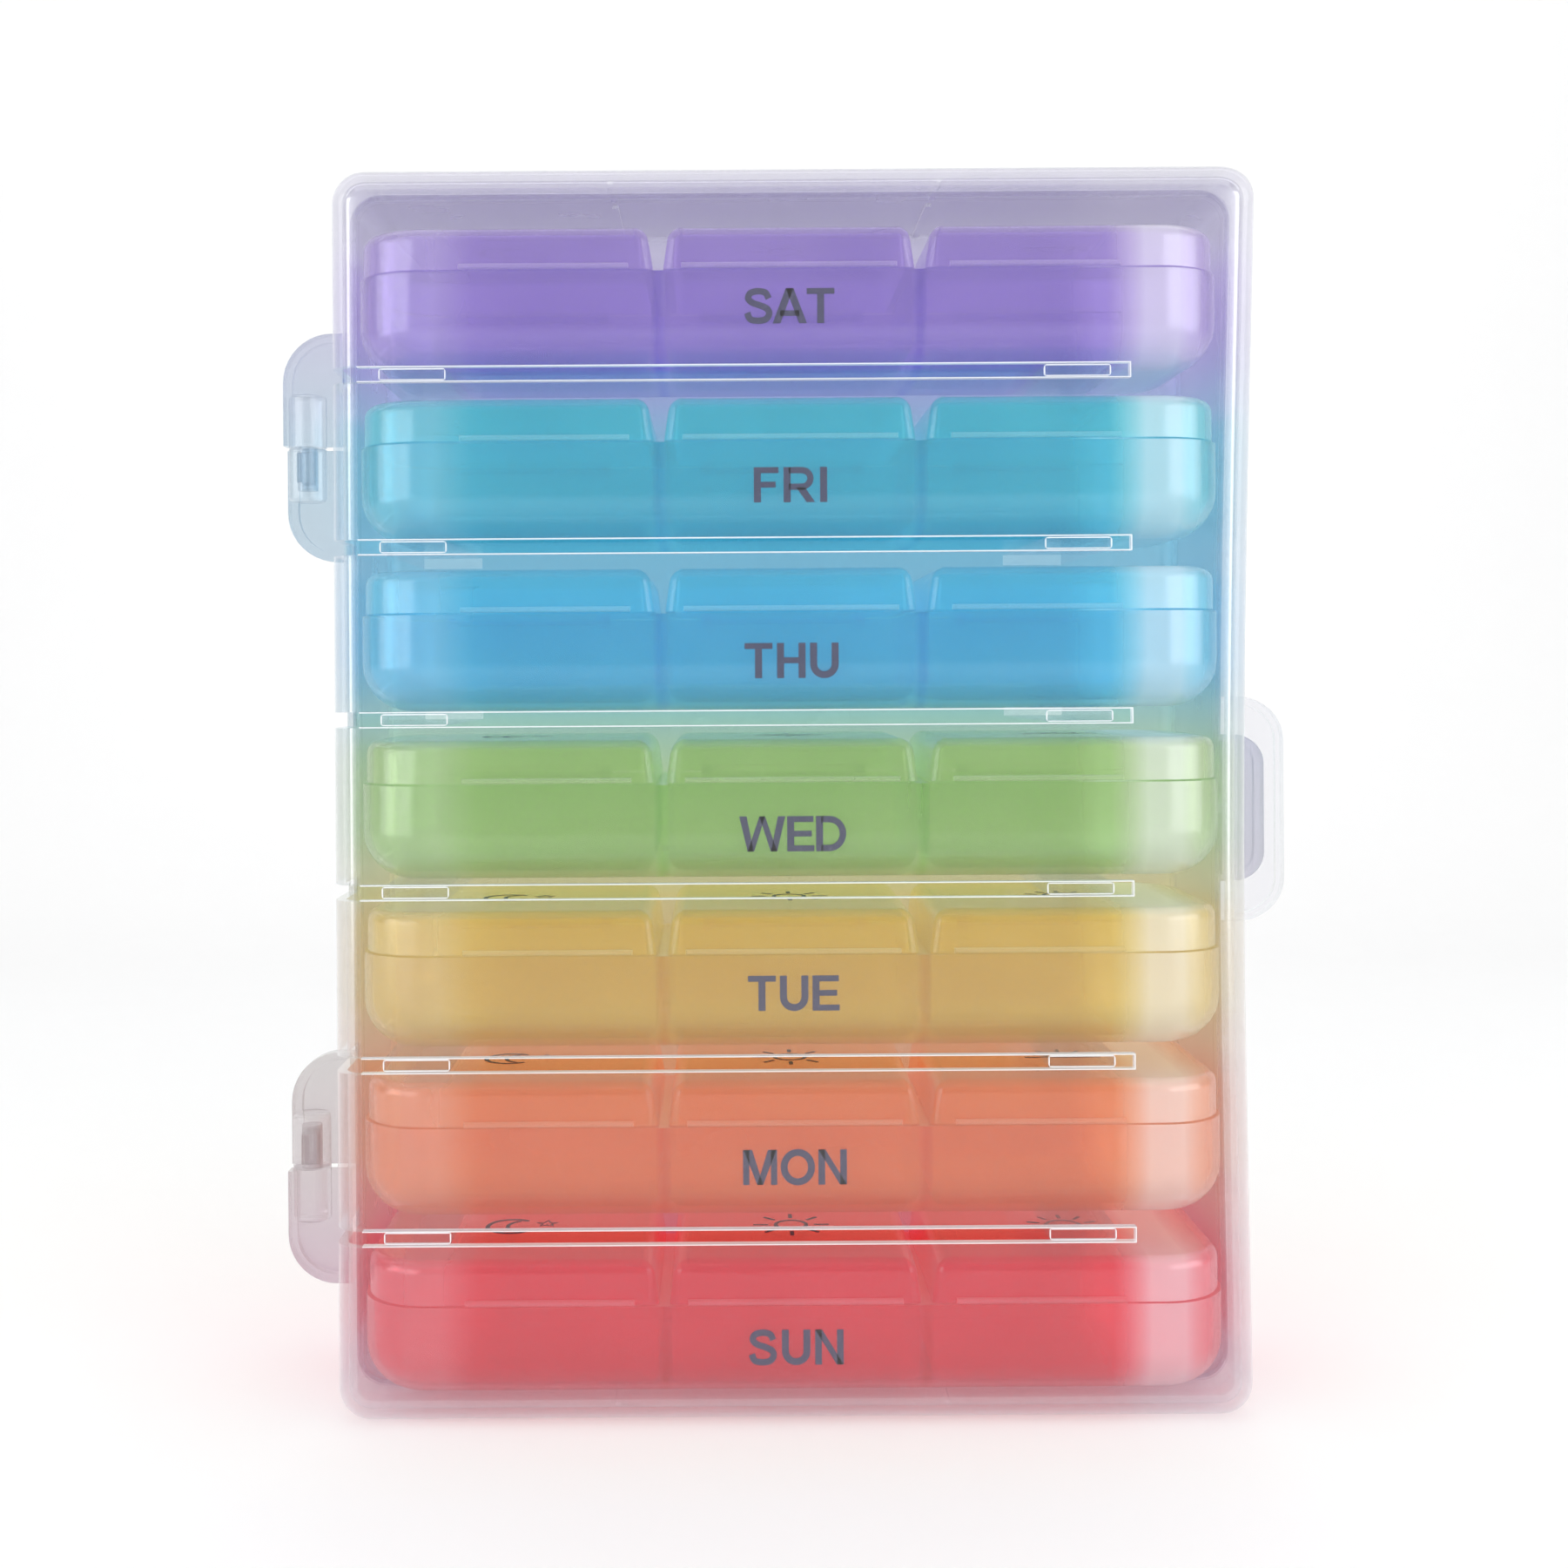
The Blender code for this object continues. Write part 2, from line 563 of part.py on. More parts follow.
def build():
    clear_scene()
    parts = new_collection("travel_pill_organizer")
    tools = new_collection("cutters")
    organizer = bpy.data.objects.new("organizer", None)
    parts.objects.link(organizer)
    organizer.location = (CASE_SHIFT, 0, 0)

    place("case_back", back_shell_mesh(tools), (0, 0, 0), plastic("case_back", CLEAR), organizer, parts)
    cover = cover_mesh(tools)
    cover_origin = Vector((HINGE_X, PARTING, 0))
    cover.transform(Matrix.Translation(-cover_origin))
    place("case_front", cover, cover_origin, plastic("case_front", CLEAR), organizer, parts)

    tray = tray_mesh(tools)
    lids = lid_meshes(tools)
    for day, level in zip(DAYS, box_levels()):
        finish = DAY_FINISH[day]
        name = f"{day}_tray"
        place(name, tray, (0, (BOX_FRONT + BOX_BACK) / 2, level), plastic(name, finish), organizer, parts)
        for kind, (low_x, high_x) in lid_spans().items():
            name = f"{day}_lid_{kind}"
            origin = ((low_x + high_x) / 2, LID_AXIS_Y, level + LID_AXIS_Z)
            place(name, lids[kind], origin, plastic(name, finish), organizer, parts)


build()
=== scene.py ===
import json
import math

import bmesh
import bpy
from mathutils import Matrix, Vector


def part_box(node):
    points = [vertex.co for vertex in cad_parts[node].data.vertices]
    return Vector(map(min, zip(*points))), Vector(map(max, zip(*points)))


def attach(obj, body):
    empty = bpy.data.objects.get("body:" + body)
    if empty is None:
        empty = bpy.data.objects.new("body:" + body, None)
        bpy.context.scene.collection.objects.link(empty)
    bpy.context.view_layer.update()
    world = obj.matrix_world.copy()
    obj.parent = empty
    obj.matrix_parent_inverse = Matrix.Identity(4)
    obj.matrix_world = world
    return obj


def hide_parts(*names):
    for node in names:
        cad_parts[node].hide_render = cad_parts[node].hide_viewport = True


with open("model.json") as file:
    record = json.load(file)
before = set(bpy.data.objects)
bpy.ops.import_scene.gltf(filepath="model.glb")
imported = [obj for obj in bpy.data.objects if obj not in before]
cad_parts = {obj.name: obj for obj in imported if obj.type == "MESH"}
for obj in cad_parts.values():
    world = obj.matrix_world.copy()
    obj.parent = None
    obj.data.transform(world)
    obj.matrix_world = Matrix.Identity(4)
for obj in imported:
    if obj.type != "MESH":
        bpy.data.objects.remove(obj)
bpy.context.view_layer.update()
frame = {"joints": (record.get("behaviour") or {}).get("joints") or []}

MM = 0.001

MERGE_DISTANCE = 0.003 * MM
TINY = 0.001 * MM

# Case, with the same measures as the CAD
CASE_WALL = 1.6 * MM
CASE_CORNER = 5.5 * MM
CASE_EDGE = 4.7 * MM
CLEARANCE = 0.3 * MM
BITE = 0.5 * MM
LUG_REACH = 11.0 * MM
LUG_Z = (38.0 * MM, 162.0 * MM)
LUG_HEIGHT = 39.0 * MM
LUG_CORNER = 8.5 * MM
LUG_THICKNESS = 3.1 * MM
KNUCKLE_RADIUS = 3.25 * MM
KNUCKLE_HEIGHT = 18.5 * MM
PIN_RADIUS = 1.4 * MM
PIN_LENGTH = 6.2 * MM
SOCKET_RADIUS = 1.75 * MM
SOCKET_DEPTH = 7.2 * MM
WINDOW_WIDTH = 2.6 * MM
WINDOW_NEAR = 0.9 * MM
WINDOW_FAR = 6.0 * MM
PLATE_SETBACK = 0.1 * MM
LIP_INSET = 0.9 * MM
LIP_THICKNESS = 0.65 * MM
LIP_REACH = 2.0 * MM
RIB_X = (-29.5 * MM, 25.0 * MM)
RIB_WIDTH = 1.0 * MM
RIB_HEIGHT = 0.6 * MM
SLOT_Z = 30.7 * MM
SLOT_PITCH = 28.25 * MM
SLOT_COUNT = 6
SLOT_HEIGHT = 2.6 * MM
SLOT_RIGHT_END = 55.6 * MM
SLOT_SIDE_REACH = 15.0 * MM
RAIL_HEIGHT = 1.9 * MM
RAIL_WIDTH = 10.9 * MM
RAIL_X = (-61.85 * MM, 46.95 * MM)
RAIL_TIP_INSET = 0.5 * MM
RIM_THICKNESS = 0.17 * MM
TAB_Z = 98.9 * MM
COVER_TAB = (38.6 * MM, 9.4 * MM, 7.5 * MM)
BACK_TAB = (25.4 * MM, 7.0 * MM, 5.0 * MM)
TAB_THICKNESS = 2.6 * MM
CATCH_CENTRES = (-6.0 * MM, 6.3 * MM)
CATCH_LENGTH = 10.8 * MM
CATCH_HEIGHT = 0.7 * MM
CATCH_DEPTH = 1.2 * MM
CATCH_FROM_LIP_TIP = 0.3 * MM
WALL_BOW = 1.0 * MM             # how far the right wall bows in at half height
WALL_LEAN = 1.6 * MM            # how far it leans out at the top
BOW_START = 62.0 * MM

# Day boxes, with the same measures as the CAD
DAYS = ("sun", "mon", "tue", "wed", "thu", "fri", "sat")
BOX_WIDTH = 145.0 * MM
BOX_DEPTH = 42.0 * MM
TRAY_HEIGHT = 16.0 * MM
TRAY_WALL = 1.2 * MM
TRAY_CORNER = 11.0 * MM
TRAY_FOOT_RADIUS = 8.0 * MM
DIVIDER_X = 21.65 * MM
DIVIDER_THICKNESS = 2.3 * MM
LID_HEIGHT = 7.1 * MM
LID_WALL = 1.0 * MM
LID_TOP_RADIUS = 2.2 * MM
LID_INNER_CORNER = 1.5 * MM
LID_GAP = 1.7 * MM
LID_DRAFT = 1.0 * MM
LID_END_INSET = 0.6 * MM
RIDGE_DEPTH = 0.9 * MM
RIDGE_HEIGHT = 0.9 * MM
OUTER_RIDGE_LENGTH = 28.0 * MM
OUTER_RIDGE_INSET = 4.0 * MM
MIDDLE_RIDGE_LENGTH = 35.5 * MM
BARREL_RADIUS = 1.1 * MM
BARREL_STANDOFF = 1.5 * MM
BARREL_LENGTH = 26.0 * MM
LID_PIN_RADIUS = 0.5 * MM
WEB_THICKNESS = 0.9 * MM
EAR_WIDTH = 2.0 * MM
EAR_BELOW_RIM = 3.5 * MM
EAR_LEAN = 1.1 * MM
LID_BASE = TRAY_HEIGHT + CLEARANCE
LID_TOP = LID_BASE + LID_HEIGHT
LID_AXIS_Z = TRAY_HEIGHT + CLEARANCE / 2

# Places read from the frame
cover_low, cover_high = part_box("case_front")
FRONT = cover_low.y
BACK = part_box("case_back")[1].y
CASE_HEIGHT = cover_high.z
HALF_WIDTH = (cover_high.x - COVER_TAB[1] - cover_low.x - LUG_REACH) / 2
CENTRE_X = cover_low.x + LUG_REACH + HALF_WIDTH
hinge = next(joint for joint in frame["joints"] if joint["name"] == "cover_hinge")
PARTING = hinge["pos_m"][1]
HINGE_X = hinge["pos_m"][0] - CENTRE_X
PLATE_GAP = CLEARANCE / 2 + PLATE_SETBACK


# ---------------------------------------------------------------- solids

def block(low, high):
    """A box between two opposite corners."""
    low = Vector(low)
    high = Vector(high)
    bm = bmesh.new()
    bmesh.ops.create_cube(bm, size=1.0)
    bmesh.ops.scale(bm, vec=high - low, verts=bm.verts)
    bmesh.ops.translate(bm, vec=(low + high) / 2, verts=bm.verts)
    return bm


def rod(centre, radius, length, axis, segments=32):
    """A cylinder centred on a point, along X or Z."""
    bm = bmesh.new()
    bmesh.ops.create_cone(bm, cap_ends=True, segments=segments, radius1=radius, radius2=radius, depth=length)
    if axis == "X":
        bmesh.ops.rotate(bm, cent=(0, 0, 0), matrix=Matrix.Rotation(math.pi / 2, 3, "Y"), verts=bm.verts)
    bmesh.ops.translate(bm, vec=centre, verts=bm.verts)
    return bm


def round_edges(bm, chosen, radius, segments):
    """Rounds the edges for which chosen(edge) is true."""
    edges = [edge for edge in bm.edges if chosen(edge)]
    bmesh.ops.bevel(bm, geom=edges, offset=radius, offset_type="OFFSET",
                    segments=segments, profile=0.5, affect="EDGES")


def runs_along(axis, least):
    return lambda edge: abs(edge.verts[0].co[axis] - edge.verts[1].co[axis]) > least


def lies_on(axis, level):
    return lambda edge: all(abs(vert.co[axis] - level) < TINY for vert in edge.verts)


def join(*pieces):
    """One bmesh of several closed bodies that don't touch."""
    whole = bmesh.new()
    for piece in pieces:
        spare = bpy.data.meshes.new("spare")
        piece.to_mesh(spare)
        piece.free()
        whole.from_mesh(spare)
        bpy.data.meshes.remove(spare)
    return whole


def to_object(bm, name):
    mesh = bpy.data.meshes.new(name)
    bm.to_mesh(mesh)
    bm.free()
    obj = bpy.data.objects.new(name, mesh)
    bpy.context.scene.collection.objects.link(obj)
    return obj


def bake(obj):
    """The object with its modifiers applied, as a bmesh; the object goes."""
    graph = bpy.context.evaluated_depsgraph_get()
    mesh = bpy.data.meshes.new_from_object(obj.evaluated_get(graph))
    bpy.data.objects.remove(obj, do_unlink=True)
    bm = bmesh.new()
    bm.from_mesh(mesh)
    bpy.data.meshes.remove(mesh)
    bmesh.ops.remove_doubles(bm, verts=bm.verts, dist=MERGE_DISTANCE)
    return bm


def combine(bm, operation, tool):
    """The Boolean of two bmeshes, as a bmesh."""
    target = to_object(bm, "target")
    other = to_object(tool, "tool")
    modifier = target.modifiers.new("cut", "BOOLEAN")
    modifier.operation = operation
    modifier.solver = "EXACT"
    modifier.object = other
    result = bake(target)
    bpy.data.objects.remove(other, do_unlink=True)
    return result


def piece(name, bm, material, slot, body, replaces=(), soft_edge=0.0, edge_material=None, more_materials=()):
    """A finished piece in the CAD's place, riding on its body.

    Its faces' material index picks from material, edge_material and more_materials.
    """
    bmesh.ops.translate(bm, vec=(CENTRE_X, 0, 0), verts=bm.verts)
    obj = to_object(bm, name)
    obj.data.materials.append(material)
    obj.data.shade_smooth()
    if soft_edge:
        edge = obj.modifiers.new("soft edges", "BEVEL")
        edge.width = soft_edge
        edge.segments = 2
        edge.limit_method = "ANGLE"
        edge.angle_limit = math.radians(50)
        edge.use_clamp_overlap = True
        if edge_material:
            obj.data.materials.append(edge_material)
            edge.material = 1
        for extra in more_materials:
            obj.data.materials.append(extra)
        obj.modifiers.new("flat faces stay flat", "WEIGHTED_NORMAL").keep_sharp = True
    else:
        obj.data.set_sharp_from_angle(angle=math.radians(38))
    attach(obj, body)
    if replaces:
        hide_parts(*replaces)
    return obj


# ---------------------------------------------------------------- materials

class Nodes:
    """Short calls for building one material's node tree."""

    def __init__(self, name):
        self.material = bpy.data.materials.new(name)
        self.material.use_nodes = True
        self.tree = self.material.node_tree
        self.tree.nodes.clear()
        self.output = self.add("ShaderNodeOutputMaterial")

    def add(self, kind, **values):
        node = self.tree.nodes.new(kind)
        for key, value in values.items():
            if hasattr(node, key):
                setattr(node, key, value)
            else:
                self.put(node.inputs[key.replace("_", " ")], value)
        return node

    def put(self, socket, value):
        if isinstance(value, bpy.types.NodeSocket):
            self.tree.links.new(value, socket)
        else:
            socket.default_value = value

    def math(self, operation, first, second=0.0, clamp=False):
        node = self.add("ShaderNodeMath", operation=operation, use_clamp=clamp)
        self.put(node.inputs[0], first)
        self.put(node.inputs[1], second)
        return node.outputs[0]

    def mix_colour(self, factor, first, second):
        node = self.add("ShaderNodeMix", data_type="RGBA")
        self.put(node.inputs["Factor"], factor)
        self.put(node.inputs["A"], first)
        self.put(node.inputs["B"], second)
        return node.outputs["Result"]

    def noise(self, scale, detail=3.0, stretch=(1, 1, 1)):
        place = self.add("ShaderNodeTexCoord").outputs["Object"]
        mapping = self.add("ShaderNodeMapping")
        self.put(mapping.inputs["Vector"], place)
        mapping.inputs["Scale"].default_value = stretch
        texture = self.add("ShaderNodeTexNoise")
        self.put(texture.inputs["Vector"], mapping.outputs[0])
        texture.inputs["Scale"].default_value = scale
        texture.inputs["Detail"].default_value = detail
        return texture.outputs["Fac"]

    def scaled(self, colour, share):
        return self.mix_colour(share, (0, 0, 0, 1), colour)

    def ramp(self, factor, low, high, from_low=0.0, from_high=1.0):
        node = self.add("ShaderNodeMapRange")
        self.put(node.inputs["Value"], factor)
        for name, value in (("From Min", from_low), ("From Max", from_high), ("To Min", low), ("To Max", high)):
            self.put(node.inputs[name], value)
        return node.outputs[0]

    def place(self, axis):
        """The place along one axis, in metres."""
        node = self.add("ShaderNodeSeparateXYZ")
        self.put(node.inputs[0], self.add("ShaderNodeTexCoord").outputs["Object"])
        return node.outputs[axis]

    def sideways(self):
        """The place across the case, in metres from its middle."""
        return self.math("SUBTRACT", self.place("X"), CENTRE_X)

    def by_height(self, stops):
        """A colour that changes smoothly up the case."""
        node = self.add("ShaderNodeValToRGB")
        node.color_ramp.interpolation = "EASE"
        self.put(node.inputs[0], self.ramp(self.place("Z"), 0.0, 1.0, 0.0, CASE_HEIGHT))
        for _ in stops[2:]:
            node.color_ramp.elements.new(0.5)
        for element, (height, colour) in zip(node.color_ramp.elements, stops):
            element.position = height / CASE_HEIGHT
            element.color = (*colour, 1)
        return node.outputs["Color"]

    def between_walls(self):
        """1 between the side walls, and little outside them."""
        off_centre = self.math("ABSOLUTE", self.sideways())
        return self.ramp(off_centre, 1.0, 0.12, HALF_WIDTH - 1.0 * MM, HALF_WIDTH + 1.5 * MM)

    def stripes(self, sideways, middle, half_width, softness):
        """1 in two upright stripes, as far left as right of the middle."""
        away = self.math("ABSOLUTE", self.math("SUBTRACT", self.math("ABSOLUTE", sideways), middle))
        return self.ramp(away, 1.0, 0.0, half_width - softness, half_width + softness)

    def mix_shader(self, factor, first, second):
        node = self.add("ShaderNodeMixShader")
        self.put(node.inputs[0], factor)
        self.put(node.inputs[1], first)
        self.put(node.inputs[2], second)
        return node.outputs[0]

    def transparent(self, colour):
        node = self.add("ShaderNodeBsdfTransparent")
        self.put(node.inputs["Color"], colour)
        return node.outputs[0]


def towards_white(colour, share):
    return [channel + (1 - channel) * share for channel in colour]


def opaque(colour):
    return (*colour, 1)


PLASTIC_IOR = 1.49
MOST_GLOSS = 0.22               # so that rounded edges don't mirror the room's dark side as outlines
BOX_LIGHT_BRIGHTNESS = 0.42               # how bright the painted light of the boxes is in a cloudy body
# how strongly the case's walls are painted whiter edge on, as a painted sheen
CASE_PAINTED_EDGE_SHEEN = 0.5
END_BAND_X = 61.5 * MM          # where a painted highlight runs near each end of a box
END_BAND_WIDTH = 12.0 * MM
END_BAND_SOFTNESS = 3.2 * MM
END_PAINTED_HIGHLIGHT = (0.35, 0.72)    # left, right: how white the painted highlight goes
END_HIGHLIGHT_HAZE = (0.08, 0.38)         # left, right: extra cloudiness under the painted highlight
DIVIDER_STRIPE = (0.8 * MM, 0.5 * MM)       # half width, softness
DIVIDER_DEPTH = 2.4


def see_through(name, glow, tint, shade, haze, edge_haze, roughness, mottle, gloss_share, painted_box_light=None,
                moulded_box=False):
    """Translucent moulded plastic: what is behind it, tinted, under a cloudy body that thickens edge on and is
    painted whiter there, as a sheen.

    glow is the cloudy body's colour, tint colours what shows through, and shade what lamps send through.
    The boxes' light is painted on when two shares are given: the body and the tint take up that much of the boxes'
    colours at each height.
    A moulded box gets painted highlights in pale bands near its ends, stronger on the right, and is deeper in colour
    at its dividers.
    """
    n = Nodes(name)
    cloud = n.noise(55.0, 2.0)
    body = n.mix_colour(n.ramp(cloud, 0.0, 1.0, 0.3, 0.7),
                        opaque([channel * (1 - mottle) for channel in glow]),
                        opaque([min(1.0, channel * (1 + mottle)) for channel in glow]))
    clear_colour = opaque(tint)
    # painted light from the boxes: the body and the tint take up the boxes' colours by height, as if their light fell
    # on the case
    if painted_box_light:
        box_light_colour = n.by_height(PAINTED_BOX_LIGHT_COLOURS)
        between_walls = n.between_walls()
        body = n.mix_colour(n.math("MULTIPLY", between_walls, painted_box_light[0]), body, n.scaled(box_light_colour, BOX_LIGHT_BRIGHTNESS))
        clear_colour = n.mix_colour(n.math("MULTIPLY", between_walls, painted_box_light[1]), clear_colour, box_light_colour)

    facing = n.add("ShaderNodeLayerWeight")
    facing.inputs["Blend"].default_value = 0.5
    facing = facing.outputs["Facing"]
    # painted sheen: the body goes towards white where a wall is seen edge on
    painted_edge_sheen = n.math("MULTIPLY", n.math("POWER", facing, 1.6), 1.0 if moulded_box else CASE_PAINTED_EDGE_SHEEN)
    body = n.mix_colour(painted_edge_sheen, body, opaque(towards_white(glow, 0.55)))
    rim = n.math("MULTIPLY", n.math("POWER", facing, 3.0), edge_haze)
    amount = n.math("ADD", n.ramp(cloud, haze * 0.92, haze * 1.08), rim, clamp=True)
    if moulded_box:
        # painted highlights: pale bands near both ends, stronger on the right, stand in for the side lamps'
        # reflections on the rounded ends
        sideways = n.sideways()
        ends = n.stripes(sideways, END_BAND_X, END_BAND_WIDTH / 2, END_BAND_SOFTNESS)
        painted_highlight = n.math("MULTIPLY", ends, n.ramp(sideways, *END_PAINTED_HIGHLIGHT, -END_BAND_X, END_BAND_X))
        body = n.mix_colour(painted_highlight, body, (1, 1, 1, 1))
        highlight_haze = n.math("MULTIPLY", ends, n.ramp(sideways, *END_HIGHLIGHT_HAZE, -END_BAND_X, END_BAND_X))
        amount = n.math("ADD", amount, highlight_haze, clamp=True)
        deep = opaque([channel ** DIVIDER_DEPTH for channel in tint])
        clear_colour = n.mix_colour(n.stripes(sideways, DIVIDER_X, *DIVIDER_STRIPE), clear_colour, deep)

    bump = n.add("ShaderNodeBump")
    bump.inputs["Strength"].default_value = 0.05
    bump.inputs["Distance"].default_value = 0.10 * MM
    n.put(bump.inputs["Height"], n.noise(70.0, 1.0, (0.35, 1.0, 2.4)))
    roughness_here = n.ramp(cloud, roughness * 0.85, roughness * 1.2)
    milk = n.add("ShaderNodeBsdfPrincipled")
    n.put(milk.inputs["Base Color"], body)
    n.put(milk.inputs["Roughness"], roughness_here)
    milk.inputs["IOR"].default_value = PLASTIC_IOR
    n.put(milk.inputs["Normal"], bump.outputs[0])
    gloss = n.add("ShaderNodeBsdfAnisotropic")
    gloss.inputs["Color"].default_value = (1, 1, 1, 1)
    n.put(gloss.inputs["Roughness"], roughness_here)
    n.put(gloss.inputs["Normal"], bump.outputs[0])
    glance = n.add("ShaderNodeFresnel")
    glance.inputs["IOR"].default_value = PLASTIC_IOR
    n.put(glance.inputs["Normal"], bump.outputs[0])

    seen = n.mix_shader(amount, n.transparent(clear_colour), milk.outputs[0])
    shine = n.math("MINIMUM", n.math("MULTIPLY", glance.outputs[0], gloss_share), MOST_GLOSS)
    polished = n.mix_shader(shine, seen, gloss.outputs[0])
    shadow_ray = n.add("ShaderNodeLightPath").outputs["Is Shadow Ray"]
    n.put(n.output.inputs["Surface"], n.mix_shader(shadow_ray, polished, n.transparent(opaque(shade))))
    return n.material


def ink(name):
    """Dark pad print with a little wear."""
    n = Nodes(name)
    wear = n.ramp(n.noise(1500.0, 3.0), 0.0, 1.0, 0.62, 0.72)
    gloss = n.add("ShaderNodeBsdfPrincipled")
    n.put(gloss.inputs["Base Color"], n.mix_colour(wear, (0.060, 0.060, 0.115, 1), (0.12, 0.12, 0.19, 1)))
    n.put(gloss.inputs["Roughness"], n.ramp(wear, 0.45, 0.6))
    n.put(n.output.inputs["Surface"], gloss.outputs[0])
    return n.material


def paper(name, shade):
    """Matt studio paper."""
    n = Nodes(name)
    grain = n.noise(40.0, 5.0)
    gloss = n.add("ShaderNodeBsdfPrincipled")
    n.put(gloss.inputs["Base Color"], n.mix_colour(grain, (shade, shade, shade, 1), (shade * 0.985,) * 3 + (1,)))
    n.put(gloss.inputs["Roughness"], n.ramp(grain, 0.85, 0.95))
    n.put(n.output.inputs["Surface"], gloss.outputs[0])
    return n.material


# Each day's cloudy colour and the tint of what is seen through it
DAY_COLOURS = {
    "sun": ((0.95, 0.020, 0.085), (0.96, 0.24, 0.33)),
    "mon": ((0.96, 0.400, 0.080), (0.96, 0.61, 0.39)),
    "tue": ((0.78, 0.700, 0.100), (0.95, 0.82, 0.45)),
    "wed": ((0.52, 0.560, 0.290), (0.80, 0.95, 0.65)),
    "thu": ((0.13, 0.840, 0.860), (0.42, 0.82, 0.96)),
    "fri": ((0.10, 0.800, 0.700), (0.42, 0.85, 0.95)),
    "sat": ((0.64, 0.500, 0.700), (0.74, 0.66, 0.95)),
}
NEUTRAL = (0.89, 0.88, 0.96)
BOX_LIGHT_HEIGHT = TRAY_HEIGHT * 0.8          # painted box light is centred this far over a box's foot
# Painted light from the boxes on the case: each box's tint at its height, neutral at the floor and the ceiling
PAINTED_BOX_LIGHT_COLOURS = [
    (0.0, NEUTRAL),
    *((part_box(f"{day}_tray")[0].z + BOX_LIGHT_HEIGHT, tint) for day, (_, tint) in DAY_COLOURS.items()),
    (CASE_HEIGHT, NEUTRAL),
]
CASE_SHADE = (0.97, 0.97, 0.98)
RIM_SHADE = (0.98, 0.98, 0.99)

# Plastics of the case; the cover, the back and the lugs are painted with light from the boxes
cover_plastic = see_through("cover_plastic", (0.90, 0.91, 0.96), (0.95, 0.95, 0.965), CASE_SHADE, haze=0.022,
                            edge_haze=0.75, roughness=0.16, mottle=0.03, gloss_share=0.6, painted_box_light=(0.22, 0.03))
# painted highlight: a pale cloudy plastic on the case's bevelled edges, as the light they catch
cover_edge = see_through("cover_edge", (0.95, 0.96, 0.99), (0.95, 0.95, 0.97), CASE_SHADE, haze=0.60,
                         edge_haze=0.30, roughness=0.12, mottle=0.02, gloss_share=1.0)
back_plastic = see_through("back_plastic", (0.60, 0.58, 0.68), (0.86, 0.85, 0.92), CASE_SHADE, haze=0.32,
                           edge_haze=0.50, roughness=0.28, mottle=0.04, gloss_share=0.6, painted_box_light=(0.72, 0.80))
lug_plastic = see_through("lug_plastic", (0.45, 0.46, 0.50), (0.87, 0.895, 0.94), CASE_SHADE, haze=0.24,
                          edge_haze=0.40, roughness=0.20, mottle=0.04, gloss_share=1.0, painted_box_light=(2.0, 1.2))
# painted highlight: pale cloudy plastic for the thin bars along slot edges and rail tips
rim_plastic = see_through("rim_plastic", (0.97, 0.98, 1.0), (0.95, 0.96, 0.98), RIM_SHADE, haze=0.62,
                          edge_haze=0.10, roughness=0.12, mottle=0.02, gloss_share=1.0)
rail_plastic = see_through("rail_plastic", (0.60, 0.62, 0.70), (0.96, 0.96, 0.98), RIM_SHADE, haze=0.02,
                           edge_haze=0.15, roughness=0.14, mottle=0.03, gloss_share=0.4)


def day_materials(kind, glow_change, tint_power, haze, edge_haze, roughness, mottle, gloss_share, moulded_box=False):
    """One material for each day, in the day's colours."""
    made = {}
    for day, (glow, tint) in DAY_COLOURS.items():
        through = [channel ** tint_power for channel in tint]
        made[day] = see_through(f"{day}_{kind}", glow_change(glow), through, towards_white(tint, 0.75), haze,
                                edge_haze, roughness, mottle, gloss_share, moulded_box=moulded_box)
    return made


day_plastics = day_materials("translucent", lambda glow: glow, 1.0, haze=0.15, edge_haze=0.40,
                             roughness=0.20, mottle=0.04, gloss_share=1.5, moulded_box=True)
lid_plastics = day_materials("lid_translucent", lambda glow: [min(1.0, channel * 1.12) for channel in glow], 1.0,
                             haze=0.19, edge_haze=0.40, roughness=0.20, mottle=0.04, gloss_share=1.3,
                             moulded_box=True)
divider_plastics = day_materials("divider", lambda glow: glow, 1.6, haze=0.30, edge_haze=0.10,
                                 roughness=0.25, mottle=0.04, gloss_share=0.3)
# painted highlight: a paler day plastic for the boxes' bevelled edges, seams and thumb ridges
day_highlight_edges = day_materials("edge", lambda glow: towards_white(glow, 0.3), 1.0, haze=0.32, edge_haze=0.3,
                          roughness=0.15, mottle=0.03, gloss_share=0.7)
print_ink = ink("print_ink")


# ---------------------------------------------------------------- case

def shell(face_y, open_y):
    """Half of the case: rounded round its face, open at the other end."""
    low_y, high_y = sorted((face_y, open_y))
    bm = block((-HALF_WIDTH, low_y, 0), (HALF_WIDTH, high_y, CASE_HEIGHT))
    round_edges(bm, runs_along(1, 10 * MM), CASE_CORNER, 10)
    round_edges(bm, lies_on(1, face_y), CASE_EDGE, 8)
    mouth = [face for face in bm.faces if all(abs(vert.co.y - open_y) < TINY for vert in face.verts)]
    bmesh.ops.delete(bm, geom=mouth, context="FACES")
    obj = to_object(bm, "shell")
    walls = obj.modifiers.new("walls", "SOLIDIFY")
    walls.thickness = CASE_WALL
    walls.offset = -1.0
    walls.use_even_offset = True
    return bake(obj)


def outline_plug(inset, low_y, high_y):
    bm = block((-HALF_WIDTH + inset, low_y, inset), (HALF_WIDTH - inset, high_y, CASE_HEIGHT - inset))
    round_edges(bm, runs_along(1, (high_y - low_y) / 2), CASE_CORNER - inset, 10)
    return bm


